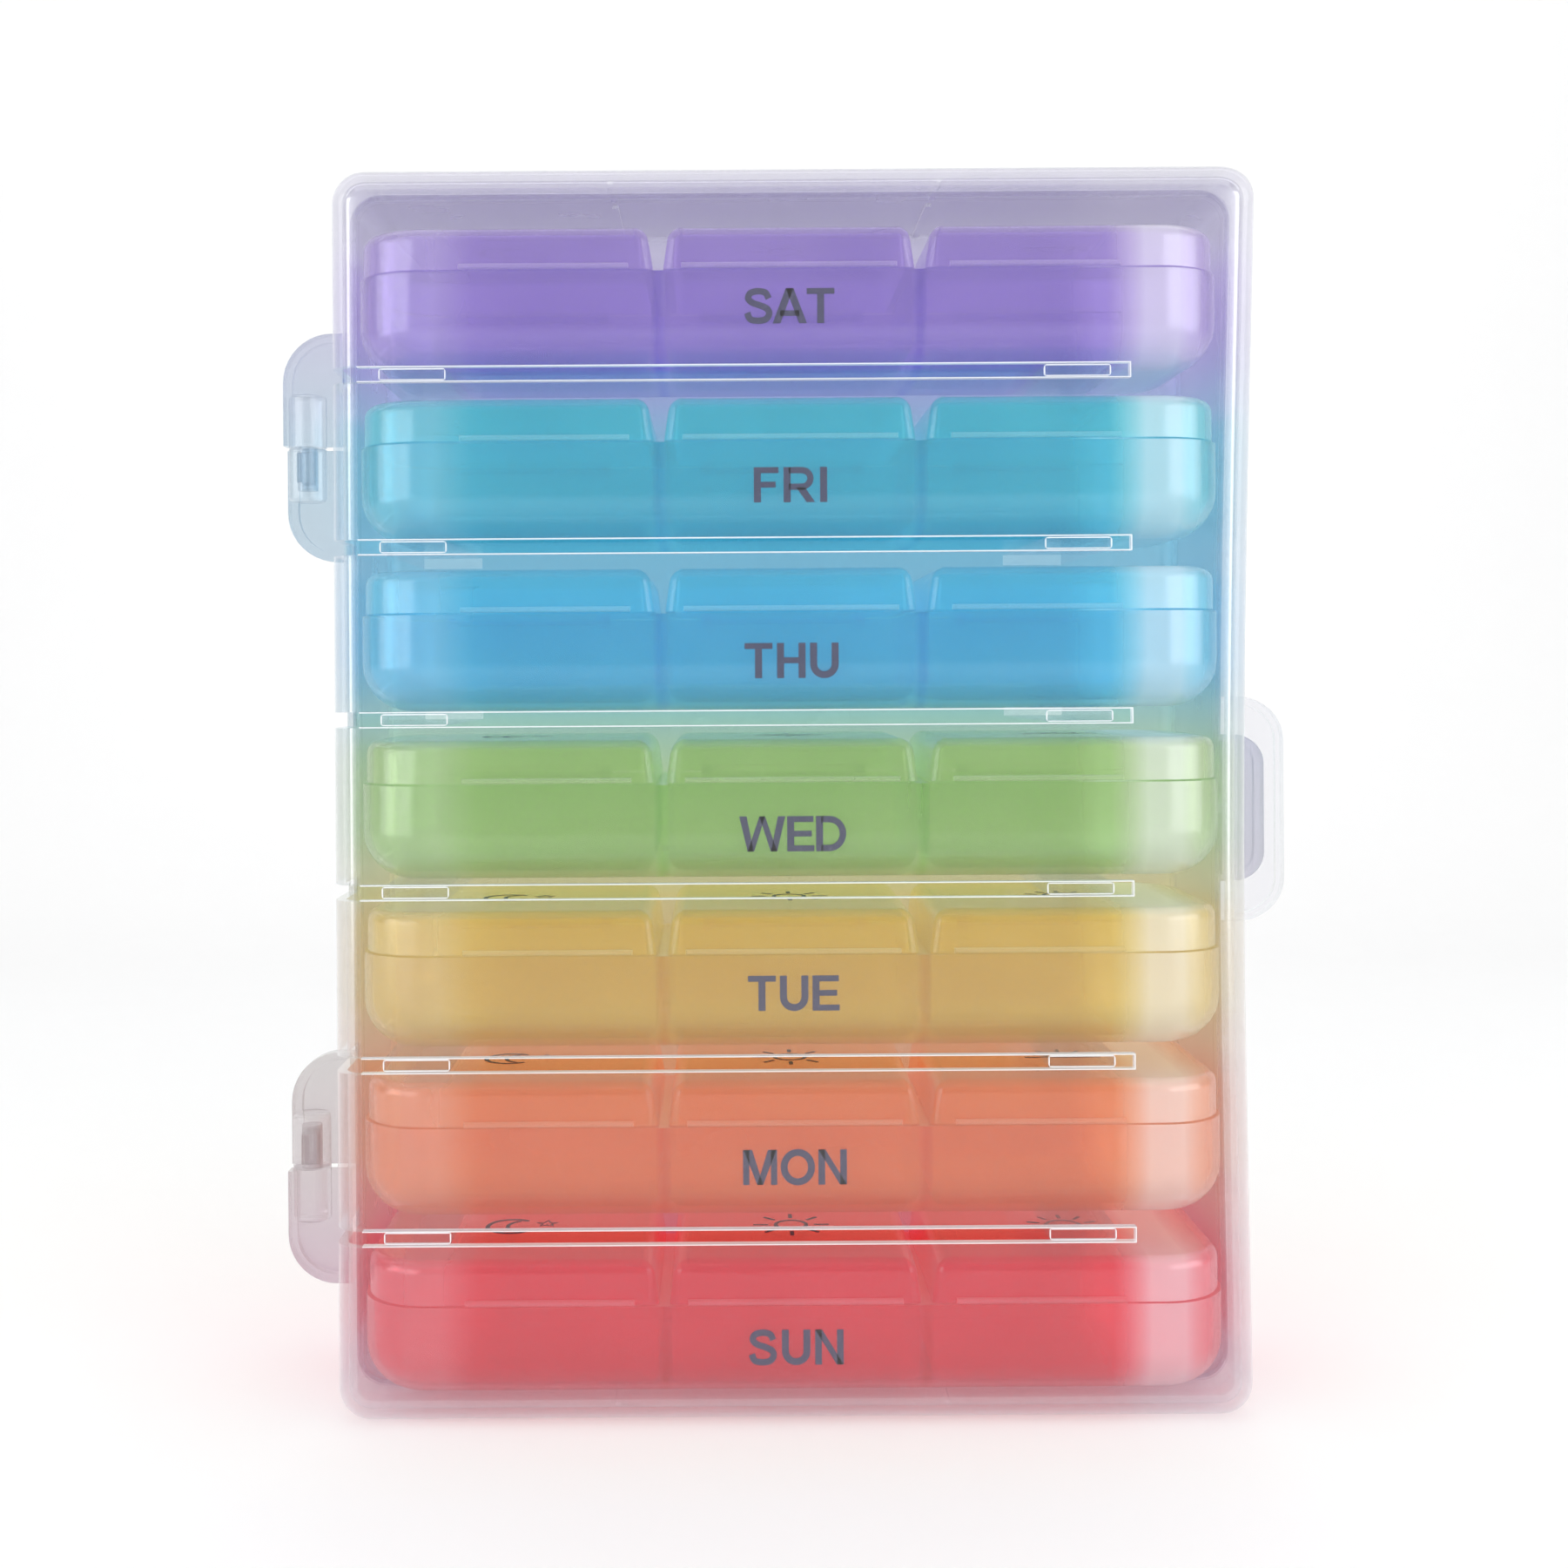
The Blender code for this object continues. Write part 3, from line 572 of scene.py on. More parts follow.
def lip_band():
    """The back shell's lip, which stands into the cover."""
    outer = outline_plug(LIP_INSET, PARTING - LIP_REACH, PARTING + 2 * BITE)
    inner = outline_plug(LIP_INSET + LIP_THICKNESS, PARTING - 2 * LIP_REACH, PARTING + 2 * LIP_REACH)
    return combine(outer, "DIFFERENCE", inner)


def outer_corner(outer_x, levels):
    """Chooses a plate's edges along Y at its outer side, at one of the levels."""
    def chosen(edge):
        at_outer = all(abs(vert.co.x - outer_x) < TINY for vert in edge.verts)
        return at_outer and any(all(abs(vert.co.z - level) < TINY for vert in edge.verts) for level in levels)
    return chosen


def side_plate(side, low_z, high_z, reach, corner, low_y, high_y, rounded_ends):
    """A plate on a side wall, rounded at its outer corners."""
    wall_x = side * (HALF_WIDTH - BITE)
    outer_x = side * (HALF_WIDTH + reach)
    bm = block((min(wall_x, outer_x), low_y, low_z), (max(wall_x, outer_x), high_y, high_z))
    round_edges(bm, outer_corner(outer_x, rounded_ends), corner, 10)
    return bm


def side_pocket(side, low_z, high_z, reach, corner, rim, face_y, depth, rounded_ends):
    """What is scooped out of a plate's face to leave its rim."""
    low_z += rim if low_z in rounded_ends else 0
    high_z -= rim if high_z in rounded_ends else 0
    ends = [level + rim if level < (low_z + high_z) / 2 else level - rim for level in rounded_ends]
    inner_x = side * (HALF_WIDTH + rim / 2)
    outer_x = side * (HALF_WIDTH + reach - rim)
    bm = block((min(inner_x, outer_x), face_y - depth, low_z), (max(inner_x, outer_x), face_y + depth, high_z))
    round_edges(bm, outer_corner(outer_x, ends), corner - rim, 8)
    return bm


def hinge_half(lug_z, upward, on_cover):
    """(added, cut) bodies of one shell's half of a hinge lug."""
    sign = 1 if upward else -1
    near = lug_z + sign * CLEARANCE / 2
    plate_near = lug_z + sign * PLATE_GAP
    far = lug_z + sign * LUG_HEIGHT / 2
    knuckle_far = lug_z + sign * KNUCKLE_HEIGHT / 2
    if on_cover:
        low_y, high_y = PARTING - LUG_THICKNESS, PARTING - PLATE_GAP
    else:
        low_y, high_y = PARTING + PLATE_GAP, PARTING + LUG_THICKNESS
    low_z, high_z = sorted((plate_near, far))
    plate = side_plate(-1, low_z, high_z, LUG_REACH, LUG_CORNER, low_y, high_y, (far,))
    pocket_face = low_y if on_cover else high_y
    pocket = side_pocket(-1, low_z, high_z, LUG_REACH, LUG_CORNER, 1.5 * MM, pocket_face, 1.7 * MM, (far,))
    plate = combine(plate, "DIFFERENCE", pocket)
    knuckle = rod((HINGE_X, PARTING, (near + knuckle_far) / 2), KNUCKLE_RADIUS, abs(knuckle_far - near), "Z", 40)
    round_edges(knuckle, lies_on(2, knuckle_far), 0.8 * MM, 4)
    added = combine(plate, "UNION", knuckle)
    if on_cover:
        pin_high = near + sign * BITE
        pin_low = lug_z - sign * PIN_LENGTH
        pin = rod((HINGE_X, PARTING, (pin_high + pin_low) / 2), PIN_RADIUS, abs(pin_high - pin_low), "Z", 24)
        return combine(added, "UNION", pin), None
    socket_end = lug_z + sign * SOCKET_DEPTH
    socket = rod((HINGE_X, PARTING, (lug_z - sign * BITE + socket_end) / 2), SOCKET_RADIUS,
                 SOCKET_DEPTH + BITE, "Z", 24)
    window_z = sorted((lug_z + sign * WINDOW_NEAR, lug_z + sign * WINDOW_FAR))
    window = block((HINGE_X - WINDOW_WIDTH / 2, PARTING - 2 * KNUCKLE_RADIUS, window_z[0]),
                   (HINGE_X + WINDOW_WIDTH / 2, PARTING, window_z[1]))
    return added, combine(socket, "UNION", window)


def ribs(low_y, high_y):
    """Low ribs along the floor and the ceiling."""
    made = []
    for rib_x in RIB_X:
        for inner_z, outer_z in ((CASE_WALL + RIB_HEIGHT, CASE_WALL - BITE),
                                 (CASE_HEIGHT - CASE_WALL - RIB_HEIGHT, CASE_HEIGHT - CASE_WALL + BITE)):
            made.append(block((rib_x - RIB_WIDTH / 2, low_y, min(inner_z, outer_z)),
                              (rib_x + RIB_WIDTH / 2, high_y, max(inner_z, outer_z))))
    return made


def catch_spans(margin):
    half = CATCH_LENGTH / 2 + margin
    return [(TAB_Z + centre - half, TAB_Z + centre + half) for centre in CATCH_CENTRES]


def thumb_tab(size, low_y, high_y, pocket_face):
    """A D-shaped thumb tab with a rim."""
    height, reach, corner = size
    low_z = TAB_Z - height / 2
    high_z = TAB_Z + height / 2
    ends = (low_z, high_z)
    tab = side_plate(1, low_z, high_z, reach, corner, low_y, high_y, ends)
    pocket = side_pocket(1, low_z, high_z, reach, corner, 1.3 * MM, pocket_face, 1.3 * MM, ends)
    return combine(tab, "DIFFERENCE", pocket)


def rail(rail_x, level):
    """A box rail with a rounded tip that stands in a slot of the cover."""
    tip_y = FRONT + RAIL_TIP_INSET
    bm = block((rail_x - RAIL_WIDTH / 2, tip_y, level - RAIL_HEIGHT / 2),
               (rail_x + RAIL_WIDTH / 2, BACK - CASE_WALL + BITE, level + RAIL_HEIGHT / 2))
    round_edges(bm, lambda edge: lies_on(1, tip_y)(edge) and runs_along(2, 0.5 * MM)(edge), 0.8 * MM, 4)
    return bm


def bow(bm):
    """Bows the thin right wall in towards half height and leans it out towards the top."""
    reach = HALF_WIDTH - BOW_START
    for vert in bm.verts:
        share = (min(vert.co.x, HALF_WIDTH) - BOW_START) / reach
        if share > 0:
            along = min(max(vert.co.z / CASE_HEIGHT, 0), 1)
            past_wall = 1 - min(max((vert.co.x - HALF_WIDTH) / COVER_TAB[1], 0), 1)
            smooth = share * share * (3 - 2 * share)
            up = max(0.0, (along - 0.35) / 0.65)
            vert.co.x += smooth * past_wall * (WALL_LEAN * up ** 1.5 - WALL_BOW * math.sin(math.pi * along) ** 1.3)


def split_walls(bm, levels):
    """Cuts level loops into the walls so that they can bow."""
    for level in levels:
        geometry = list(bm.verts) + list(bm.edges) + list(bm.faces)
        bmesh.ops.bisect_plane(bm, geom=geometry, dist=1e-7, plane_co=(0, 0, level), plane_no=(0, 0, 1))
    return bm


def wall_levels():
    return [CASE_HEIGHT * (index + 0.5) / 12 for index in range(12)]


slot_levels = [SLOT_Z + index * SLOT_PITCH for index in range(SLOT_COUNT)]


def back_shell():
    """The back half: shell, lip, rails, ribs, catches, thumb tab and its halves of the hinges."""
    bm = shell(BACK, PARTING + CLEARANCE / 2)
    bm = combine(bm, "UNION", lip_band())
    rails = [rail(rail_x, level) for level in slot_levels for rail_x in RAIL_X]
    lower, lower_cut = hinge_half(LUG_Z[0], True, False)
    upper, upper_cut = hinge_half(LUG_Z[1], False, False)
    tab = thumb_tab(BACK_TAB, PARTING + PLATE_GAP, PARTING + TAB_THICKNESS, PARTING + TAB_THICKNESS)
    lip_x = HALF_WIDTH - LIP_INSET
    low_y = PARTING - LIP_REACH + CATCH_FROM_LIP_TIP
    catches = [block((lip_x - LIP_THICKNESS / 2, low_y, low_z), (lip_x + CATCH_HEIGHT, low_y + CATCH_DEPTH, high_z))
               for low_z, high_z in catch_spans(0)]
    floor_ribs = ribs(PARTING + LIP_REACH, BACK - CASE_EDGE)
    bm = combine(bm, "UNION", join(*rails, *floor_ribs, *catches, tab, lower, upper))
    return combine(bm, "DIFFERENCE", join(lower_cut, upper_cut))


def cover():
    """The cover half: shell, slots, ribs, catch notches, thumb tab and its halves of the hinges."""
    bm = shell(FRONT, PARTING - CLEARANCE / 2)
    rebate_floor = PARTING - LIP_REACH - CLEARANCE
    bm = combine(bm, "DIFFERENCE", outline_plug(LIP_INSET - CLEARANCE, rebate_floor, PARTING + BITE))
    lower, _ = hinge_half(LUG_Z[0], False, True)
    upper, _ = hinge_half(LUG_Z[1], True, True)
    tab = thumb_tab(COVER_TAB, PARTING - TAB_THICKNESS, PARTING - PLATE_GAP, PARTING - TAB_THICKNESS)
    bm = combine(bm, "UNION", join(*ribs(FRONT + CASE_EDGE, rebate_floor - BITE), tab, lower, upper))
    slots = [block((-HALF_WIDTH - BITE, FRONT - BITE, level - SLOT_HEIGHT / 2),
                   (SLOT_RIGHT_END, FRONT + SLOT_SIDE_REACH, level + SLOT_HEIGHT / 2))
             for level in slot_levels]
    notches = [block((HALF_WIDTH - CASE_WALL / 2, PARTING - LIP_REACH, low_z),
                     (HALF_WIDTH + BITE, PARTING + BITE, high_z))
               for low_z, high_z in catch_spans(CLEARANCE)]
    return combine(bm, "DIFFERENCE", join(*slots, *notches))


CASE_RAIL = 2                   # material indices of the case's pieces
CASE_LUG = 3


def mark_faces(bm, chosen, index):
    """Gives the faces for which chosen(middle, normal) is true a material index of their own."""
    for face in bm.faces:
        if chosen(face.calc_center_median(), face.normal):
            face.material_index = index
    return bm


def on_lug(middle, _):
    return middle.x < -HALF_WIDTH - 0.2 * MM


def on_rail(middle, _):
    across = min(abs(middle.x - rail_x) for rail_x in RAIL_X)
    up = min(abs(middle.z - level) for level in slot_levels)
    in_rail = across < RAIL_WIDTH / 2 + 0.01 * MM and up < RAIL_HEIGHT / 2 + 0.01 * MM
    return in_rail and middle.y < BACK - CASE_WALL - 0.1 * MM


for name, bm, material, body, node in (("back_shell", back_shell(), back_plastic, "case_back", "case_back"),
                                       ("cover_shell", cover(), cover_plastic, "cover", "case_front")):
    bow(split_walls(bm, wall_levels()))
    if name == "back_shell":
        mark_faces(bm, on_rail, CASE_RAIL)
    mark_faces(bm, on_lug, CASE_LUG)
    piece(name, bm, material, "clear_case", body, (node,), 0.32 * MM, cover_edge, (rail_plastic, lug_plastic))


RIM_LIFT = 0.02 * MM            # how far a rim stands off the rail it goes round


def slot_rims():
    """Painted highlights along the slots' edges: thin bars of pale cloudy plastic where the edges catch the light."""
    bars = []
    near = FRONT + 0.03 * MM
    far = FRONT + CASE_WALL
    for level in slot_levels:
        half = SLOT_HEIGHT / 2
        for low_z in (level - half, level + half - RIM_THICKNESS):
            bars.append(block((-HALF_WIDTH + CASE_EDGE, near, low_z), (SLOT_RIGHT_END, far, low_z + RIM_THICKNESS)))
        bars.append(block((SLOT_RIGHT_END - RIM_THICKNESS, near, level - half + RIM_THICKNESS),
                          (SLOT_RIGHT_END, far, level + half - RIM_THICKNESS)))
    return join(*bars)


def rail_rims():
    """Painted highlights: thin pale rims round the rails' tips."""
    rims = []
    near = FRONT + RAIL_TIP_INSET - RIM_LIFT
    for level in slot_levels:
        for rail_x in RAIL_X:
            half_x = RAIL_WIDTH / 2 + RIM_LIFT
            half_z = RAIL_HEIGHT / 2 + RIM_LIFT
            rim = block((rail_x - half_x, near, level - half_z),
                        (rail_x + half_x, near + 0.6 * MM, level + half_z))
            round_edges(rim, runs_along(1, 0.3 * MM), 0.5 * MM, 3)
            hole = block((rail_x - half_x + RIM_THICKNESS, near - MM, level - half_z + RIM_THICKNESS),
                         (rail_x + half_x - RIM_THICKNESS, near + MM, level + half_z - RIM_THICKNESS))
            rims.append(combine(rim, "DIFFERENCE", hole))
    return join(*rims)


piece("slot_rims", slot_rims(), rim_plastic, "clear_case", "cover")
piece("rail_rims", rail_rims(), rim_plastic, "clear_case", "case_back")


# ---------------------------------------------------------------- day boxes

def lid_spans():
    """Each lid's two ends across the box."""
    end = BOX_WIDTH / 2
    inner = DIVIDER_X + LID_GAP / 2
    return {
        "left": (-end, -inner),
        "middle": (-DIVIDER_X + LID_GAP / 2, DIVIDER_X - LID_GAP / 2),
        "right": (inner, end),
    }


def box_form(inset, low_z, high_z):
    """The tray's outer form, or its hollow when inset."""
    bm = block((-BOX_WIDTH / 2 + inset, -BOX_DEPTH / 2 + inset, low_z),
               (BOX_WIDTH / 2 - inset, BOX_DEPTH / 2 - inset, high_z))
    round_edges(bm, runs_along(2, (high_z - low_z) / 2), TRAY_CORNER - inset, 10)
    round_edges(bm, lies_on(2, low_z), TRAY_FOOT_RADIUS - inset, 8)
    return bm


def hinge_ear(centre_x):
    """An ear on the tray's back, drilled for a lid's pin."""
    back = BOX_DEPTH / 2
    low_z = TRAY_HEIGHT - EAR_BELOW_RIM
    high_z = LID_AXIS_Z + BARREL_RADIUS
    inner_y = back - BITE
    outer_y = back + BARREL_STANDOFF + BARREL_RADIUS
    bm = block((centre_x - EAR_WIDTH / 2, inner_y, low_z), (centre_x + EAR_WIDTH / 2, outer_y, high_z))
    leaning = [vert for vert in bm.verts if vert.co.z > high_z - TINY and vert.co.y < inner_y + TINY]
    bmesh.ops.translate(bm, vec=(0, EAR_LEAN, 0), verts=leaning)
    round_edges(bm, lambda edge: all(abs(vert.co.y - outer_y) < TINY for vert in edge.verts)
                and runs_along(0, EAR_WIDTH / 2)(edge), 0.9 * MM, 4)
    hole = rod((centre_x, back + BARREL_STANDOFF, LID_AXIS_Z), LID_PIN_RADIUS + 0.1 * MM, 2 * EAR_WIDTH, "X", 16)
    return combine(bm, "DIFFERENCE", hole)


def tray():
    """A day box: three rounded pockets and the ears of its lid hinges."""
    outer = box_form(0, 0, TRAY_HEIGHT)
    hollow = box_form(TRAY_WALL, TRAY_WALL, TRAY_HEIGHT + TRAY_WALL)
    pocket_edge = DIVIDER_X + DIVIDER_THICKNESS / 2
    pockets = []
    middle_edge = pocket_edge - DIVIDER_THICKNESS
    for low_x, high_x in ((-BOX_WIDTH, -pocket_edge), (-middle_edge, middle_edge), (pocket_edge, BOX_WIDTH)):
        pocket = block((low_x, -BOX_DEPTH, TRAY_WALL), (high_x, BOX_DEPTH, 2 * TRAY_HEIGHT))
        round_edges(pocket, lambda edge: lies_on(2, TRAY_WALL)(edge) and runs_along(1, BOX_DEPTH)(edge), 3.0 * MM, 6)
        pockets.append(pocket)
    hollow = combine(hollow, "INTERSECT", join(*pockets))
    bm = combine(outer, "DIFFERENCE", hollow)
    ears = []
    for low_x, high_x in lid_spans().values():
        for side in (-1, 1):
            ears.append(hinge_ear((low_x + high_x) / 2 + side * (BARREL_LENGTH / 2 + CLEARANCE + EAR_WIDTH / 2)))
    return combine(bm, "UNION", join(*ears))


def lid_form(low_x, high_x, inset, low_z, high_z, end_side, top_radius):
    """A lid's outer form, or its hollow when inset; end_side is the end of the box it covers, or 0."""
    low_x += LID_END_INSET if end_side < 0 else 0
    high_x -= LID_END_INSET if end_side > 0 else 0
    low_y = -BOX_DEPTH / 2 + inset
    high_y = BOX_DEPTH / 2 - inset
    bm = block((low_x + inset, low_y, low_z), (high_x - inset, high_y, high_z))
    for side, level in ((-1, low_x + inset), (1, high_x - inset)):
        upper = [vert for vert in bm.verts if abs(vert.co.x - level) < TINY and vert.co.z > high_z - TINY]
        if side != end_side:
            bmesh.ops.translate(bm, vec=(-side * LID_DRAFT, 0, 0), verts=upper)
    middle_x = (low_x + high_x) / 2
    upright = runs_along(2, (high_z - low_z) / 2)
    end_x = high_x - inset if end_side > 0 else low_x + inset

    def at_end(edge):
        return upright(edge) and end_side != 0 and all(abs(vert.co.x - end_x) < TINY for vert in edge.verts)

    def at_divider(edge):
        return upright(edge) and end_side * (edge.verts[0].co.x - middle_x) <= 0

    round_edges(bm, at_divider, LID_INNER_CORNER - min(inset, LID_INNER_CORNER / 2), 4)
    round_edges(bm, at_end, TRAY_CORNER - inset, 10)
    round_edges(bm, lies_on(2, high_z), top_radius, 6)
    return bm


def lid(low_x, high_x, end_side, ridge):
    """A lid with its thumb ridge, hinge barrel and the barrel's two pins."""
    bm = lid_form(low_x, high_x, 0, LID_BASE, LID_TOP, end_side, LID_TOP_RADIUS)
    hollow = lid_form(low_x, high_x, LID_WALL, LID_BASE - LID_HEIGHT, LID_TOP - LID_WALL, end_side,
                      LID_TOP_RADIUS - LID_WALL)
    bm = combine(bm, "DIFFERENCE", hollow)
    front = -BOX_DEPTH / 2
    thumb = block((ridge[0], front - RIDGE_DEPTH, LID_BASE), (ridge[1], front + BITE, LID_BASE + RIDGE_HEIGHT))
    round_edges(thumb, lies_on(1, front - RIDGE_DEPTH), 0.35 * MM, 4)
    middle_x = (low_x + high_x) / 2
    axis_y = BOX_DEPTH / 2 + BARREL_STANDOFF
    web_half = BARREL_LENGTH / 2 - BITE
    web = block((middle_x - web_half, BOX_DEPTH / 2 - BITE, LID_BASE),
                (middle_x + web_half, axis_y, LID_BASE + WEB_THICKNESS))
    barrel = rod((middle_x, axis_y, LID_AXIS_Z), BARREL_RADIUS, BARREL_LENGTH, "X", 24)
    pin = rod((middle_x, axis_y, LID_AXIS_Z), LID_PIN_RADIUS, BARREL_LENGTH + 2 * EAR_WIDTH, "X", 16)
    barrel = combine(combine(barrel, "UNION", pin), "UNION", web)
    return combine(bm, "UNION", join(thumb, barrel))


def lids():
    """The three lids, in the place they have in a box that stands at the origin."""
    spans = lid_spans()
    left_end = spans["left"][1] - OUTER_RIDGE_INSET
    half = MIDDLE_RIDGE_LENGTH / 2
    ridges = {
        "left": (left_end - OUTER_RIDGE_LENGTH, left_end),
        "middle": (-half, half),
        "right": (-left_end, -left_end + OUTER_RIDGE_LENGTH),
    }
    ends = {"left": -1, "middle": 0, "right": 1}
    return {kind: lid(*spans[kind], ends[kind], ridges[kind]) for kind in spans}


BOX_HIGHLIGHT_EDGE = 1                    # material indices of the boxes' pieces
BOX_DIVIDER = 2


def on_divider(middle, normal):
    near = abs(abs(middle.x) - DIVIDER_X) < DIVIDER_THICKNESS / 2 + 0.01 * MM
    return near and abs(normal.x) > 0.8 and middle.z > TRAY_WALL + 0.1 * MM


def on_ridge(middle, _):
    return middle.y < -BOX_DEPTH / 2 - 0.01 * MM


def at_seam(level):
    return lambda middle, normal: abs(middle.z - level) < 0.01 * MM and abs(normal.z) > 0.9


# the tray's rim seam, the lids' seams and their thumb ridges take the painted highlight plastic
tray_form = mark_faces(mark_faces(tray(), at_seam(TRAY_HEIGHT), BOX_HIGHLIGHT_EDGE), on_divider, BOX_DIVIDER)
lid_forms = lids()
for form in lid_forms.values():
    mark_faces(form, at_seam(LID_BASE), BOX_HIGHLIGHT_EDGE)
    mark_faces(form, on_ridge, BOX_HIGHLIGHT_EDGE)
for day in DAYS:
    low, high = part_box(f"{day}_tray")
    offset = Vector((0, low.y + BOX_DEPTH / 2, low.z))
    bm = tray_form.copy()
    bmesh.ops.translate(bm, vec=offset, verts=bm.verts)
    piece(f"{day}_tray_body", bm, day_plastics[day], f"{day}_plastic", f"{day}_box", (f"{day}_tray",),
          0.18 * MM, day_highlight_edges[day], (divider_plastics[day],))
    for kind, form in lid_forms.items():
        node = f"{day}_lid_{kind}"
        bm = form.copy()
        bmesh.ops.translate(bm, vec=offset, verts=bm.verts)
        piece(f"{node}_cap", bm, lid_plastics[day], f"{day}_plastic", node, (node,), 0.15 * MM, day_highlight_edges[day])


# ---------------------------------------------------------------- print

LABEL_CAP_HEIGHT = 5.8 * MM
PICTURE_Y = -1.0 * MM
# Each name's middle in millimetres over its box's foot, and its width in letter heights
LABEL_HEIGHTS = {"sun": 9.2, "mon": 9.4, "tue": 9.8, "wed": 7.8, "thu": 8.1, "fri": 8.8, "sat": 10.0}
LABEL_WIDTHS = {"sun": 2.70, "mon": 2.95, "tue": 2.60, "wed": 3.04, "thu": 2.67, "fri": 2.08, "sat": 2.57}
PRINT_STANDOFF = 0.04 * MM


def bar(low_x, low_y, high_x, high_y):
    """The corners of an upright rectangle."""
    return [(low_x, low_y), (high_x, low_y), (high_x, high_y), (low_x, high_y)]


def arc(centre, radii, start, end, steps=12):
    """Points along part of an ellipse, angles in degrees."""
    turns = [math.radians(start + (end - start) * step / steps) for step in range(steps + 1)]
    return [(centre[0] + radii[0] * math.cos(turn), centre[1] + radii[1] * math.sin(turn)) for turn in turns]


def ribbon(points, width, closed=False):
    """Four-cornered faces that follow a line of points at an even width."""
    points = [Vector(point) for point in points]
    count = len(points)
    sides = []
    for index, point in enumerate(points):
        before = points[index - 1] if closed or index else point
        after = points[(index + 1) % count] if closed or index < count - 1 else point
        along = (after - before).normalized()
        across = Vector((-along.y, along.x)) * width / 2
        sides.append((point + across, point - across))
    pairs = list(zip(sides, sides[1:])) + ([(sides[-1], sides[0])] if closed else [])
    return [[first[0], first[1], second[1], second[0]] for first, second in pairs]


def curve_through(points, steps=5):
    """A smooth line through points (Catmull-Rom)."""
    points = [Vector(point) for point in points]
    points = [2 * points[0] - points[1]] + points + [2 * points[-1] - points[-2]]
    line = []
    for a, b, c, d in zip(points, points[1:], points[2:], points[3:]):
        for step in range(steps):
            t = step / steps
            line.append(0.5 * (2 * b + (c - a) * t + (2 * a - 5 * b + 4 * c - d) * t * t
                               + (3 * b - a - 3 * c + d) * t ** 3))
    return line + [points[-2]]


def glyphs():
    """Bold capitals one unit high: (width, faces)."""
    stem = bar(0, 0, 0.2, 1)
    bowl_d = [(0.15, 0.91), (0.38, 0.91)] + arc((0.38, 0.5), (0.385, 0.41), 80, -80) + [(0.38, 0.09), (0.15, 0.09)]
    bowl_r = [(0.15, 0.91), (0.52, 0.91)] + arc((0.52, 0.675), (0.24, 0.235), 75, -75) + [(0.52, 0.44), (0.15, 0.44)]
    cup = [(0.1, 1), (0.1, 0.40)] + arc((0.405, 0.39), (0.305, 0.30), 185, 355, 16) + [(0.71, 0.40), (0.71, 1)]
    snake = [(0.70, 0.71), (0.61, 0.87), (0.41, 0.92), (0.19, 0.87), (0.12, 0.72), (0.24, 0.59), (0.44, 0.52),
             (0.65, 0.42), (0.71, 0.27), (0.61, 0.12), (0.39, 0.08), (0.17, 0.13), (0.09, 0.31)]
    return {
        "A": (0.98, [[(0, 0), (0.225, 0), (0.60, 1), (0.38, 1)], [(0.98, 0), (0.755, 0), (0.38, 1), (0.60, 1)],
                     bar(0.22, 0.21, 0.76, 0.37)]),
        "D": (0.86, [stem] + ribbon(bowl_d, 0.185)),
        "E": (0.77, [stem, bar(0.2, 0.83, 0.75, 1), bar(0.2, 0.42, 0.70, 0.585), bar(0.2, 0, 0.77, 0.17)]),
        "F": (0.70, [stem, bar(0.2, 0.83, 0.70, 1), bar(0.2, 0.42, 0.62, 0.585)]),
        "H": (0.81, [stem, bar(0.61, 0, 0.81, 1), bar(0.2, 0.42, 0.61, 0.59)]),
        "I": (0.20, [stem]),
        "M": (0.97, [bar(0, 0, 0.18, 1), bar(0.79, 0, 0.97, 1), [(0.02, 1), (0.26, 1), (0.57, 0), (0.40, 0)],
                     [(0.95, 1), (0.71, 1), (0.40, 0), (0.57, 0)]]),
        "N": (0.81, [bar(0, 0, 0.19, 1), bar(0.62, 0, 0.81, 1), [(0, 1), (0.2, 1), (0.81, 0), (0.61, 0)]]),
        "O": (0.98, ribbon(arc((0.49, 0.5), (0.39, 0.42), 0, 345, 23), 0.2, True)),
        "R": (0.89, [stem] + ribbon(bowl_r, 0.18) + [[(0.36, 0.42), (0.61, 0.42), (0.89, 0), (0.65, 0)]]),
        "S": (0.81, ribbon(curve_through(snake), 0.185)),
        "T": (0.79, [bar(0, 0.83, 0.79, 1), bar(0.295, 0, 0.495, 0.83)]),
        "U": (0.81, ribbon(cup, 0.2)),
        "W": (1.31, [[(0, 1), (0.21, 1), (0.41, 0), (0.235, 0)], [(0.235, 0), (0.42, 0), (0.735, 1), (0.575, 1)],
                     [(0.575, 1), (0.735, 1), (1.075, 0), (0.89, 0)], [(0.90, 0), (1.075, 0), (1.31, 1), (1.10, 1)]]),
    }


def flat_print(name, faces, place, day, body):
    """Ink on a surface: 2-D faces, each point put in place by a function."""
    bm = bmesh.new()
    for face in faces:
        corners = [place(Vector(corner)) for corner in face]
        bm.faces.new([bm.verts.new(corner) for corner in corners])
    bmesh.ops.recalc_face_normals(bm, faces=bm.faces)
    piece(name, bm, print_ink, f"{day}_plastic", body)


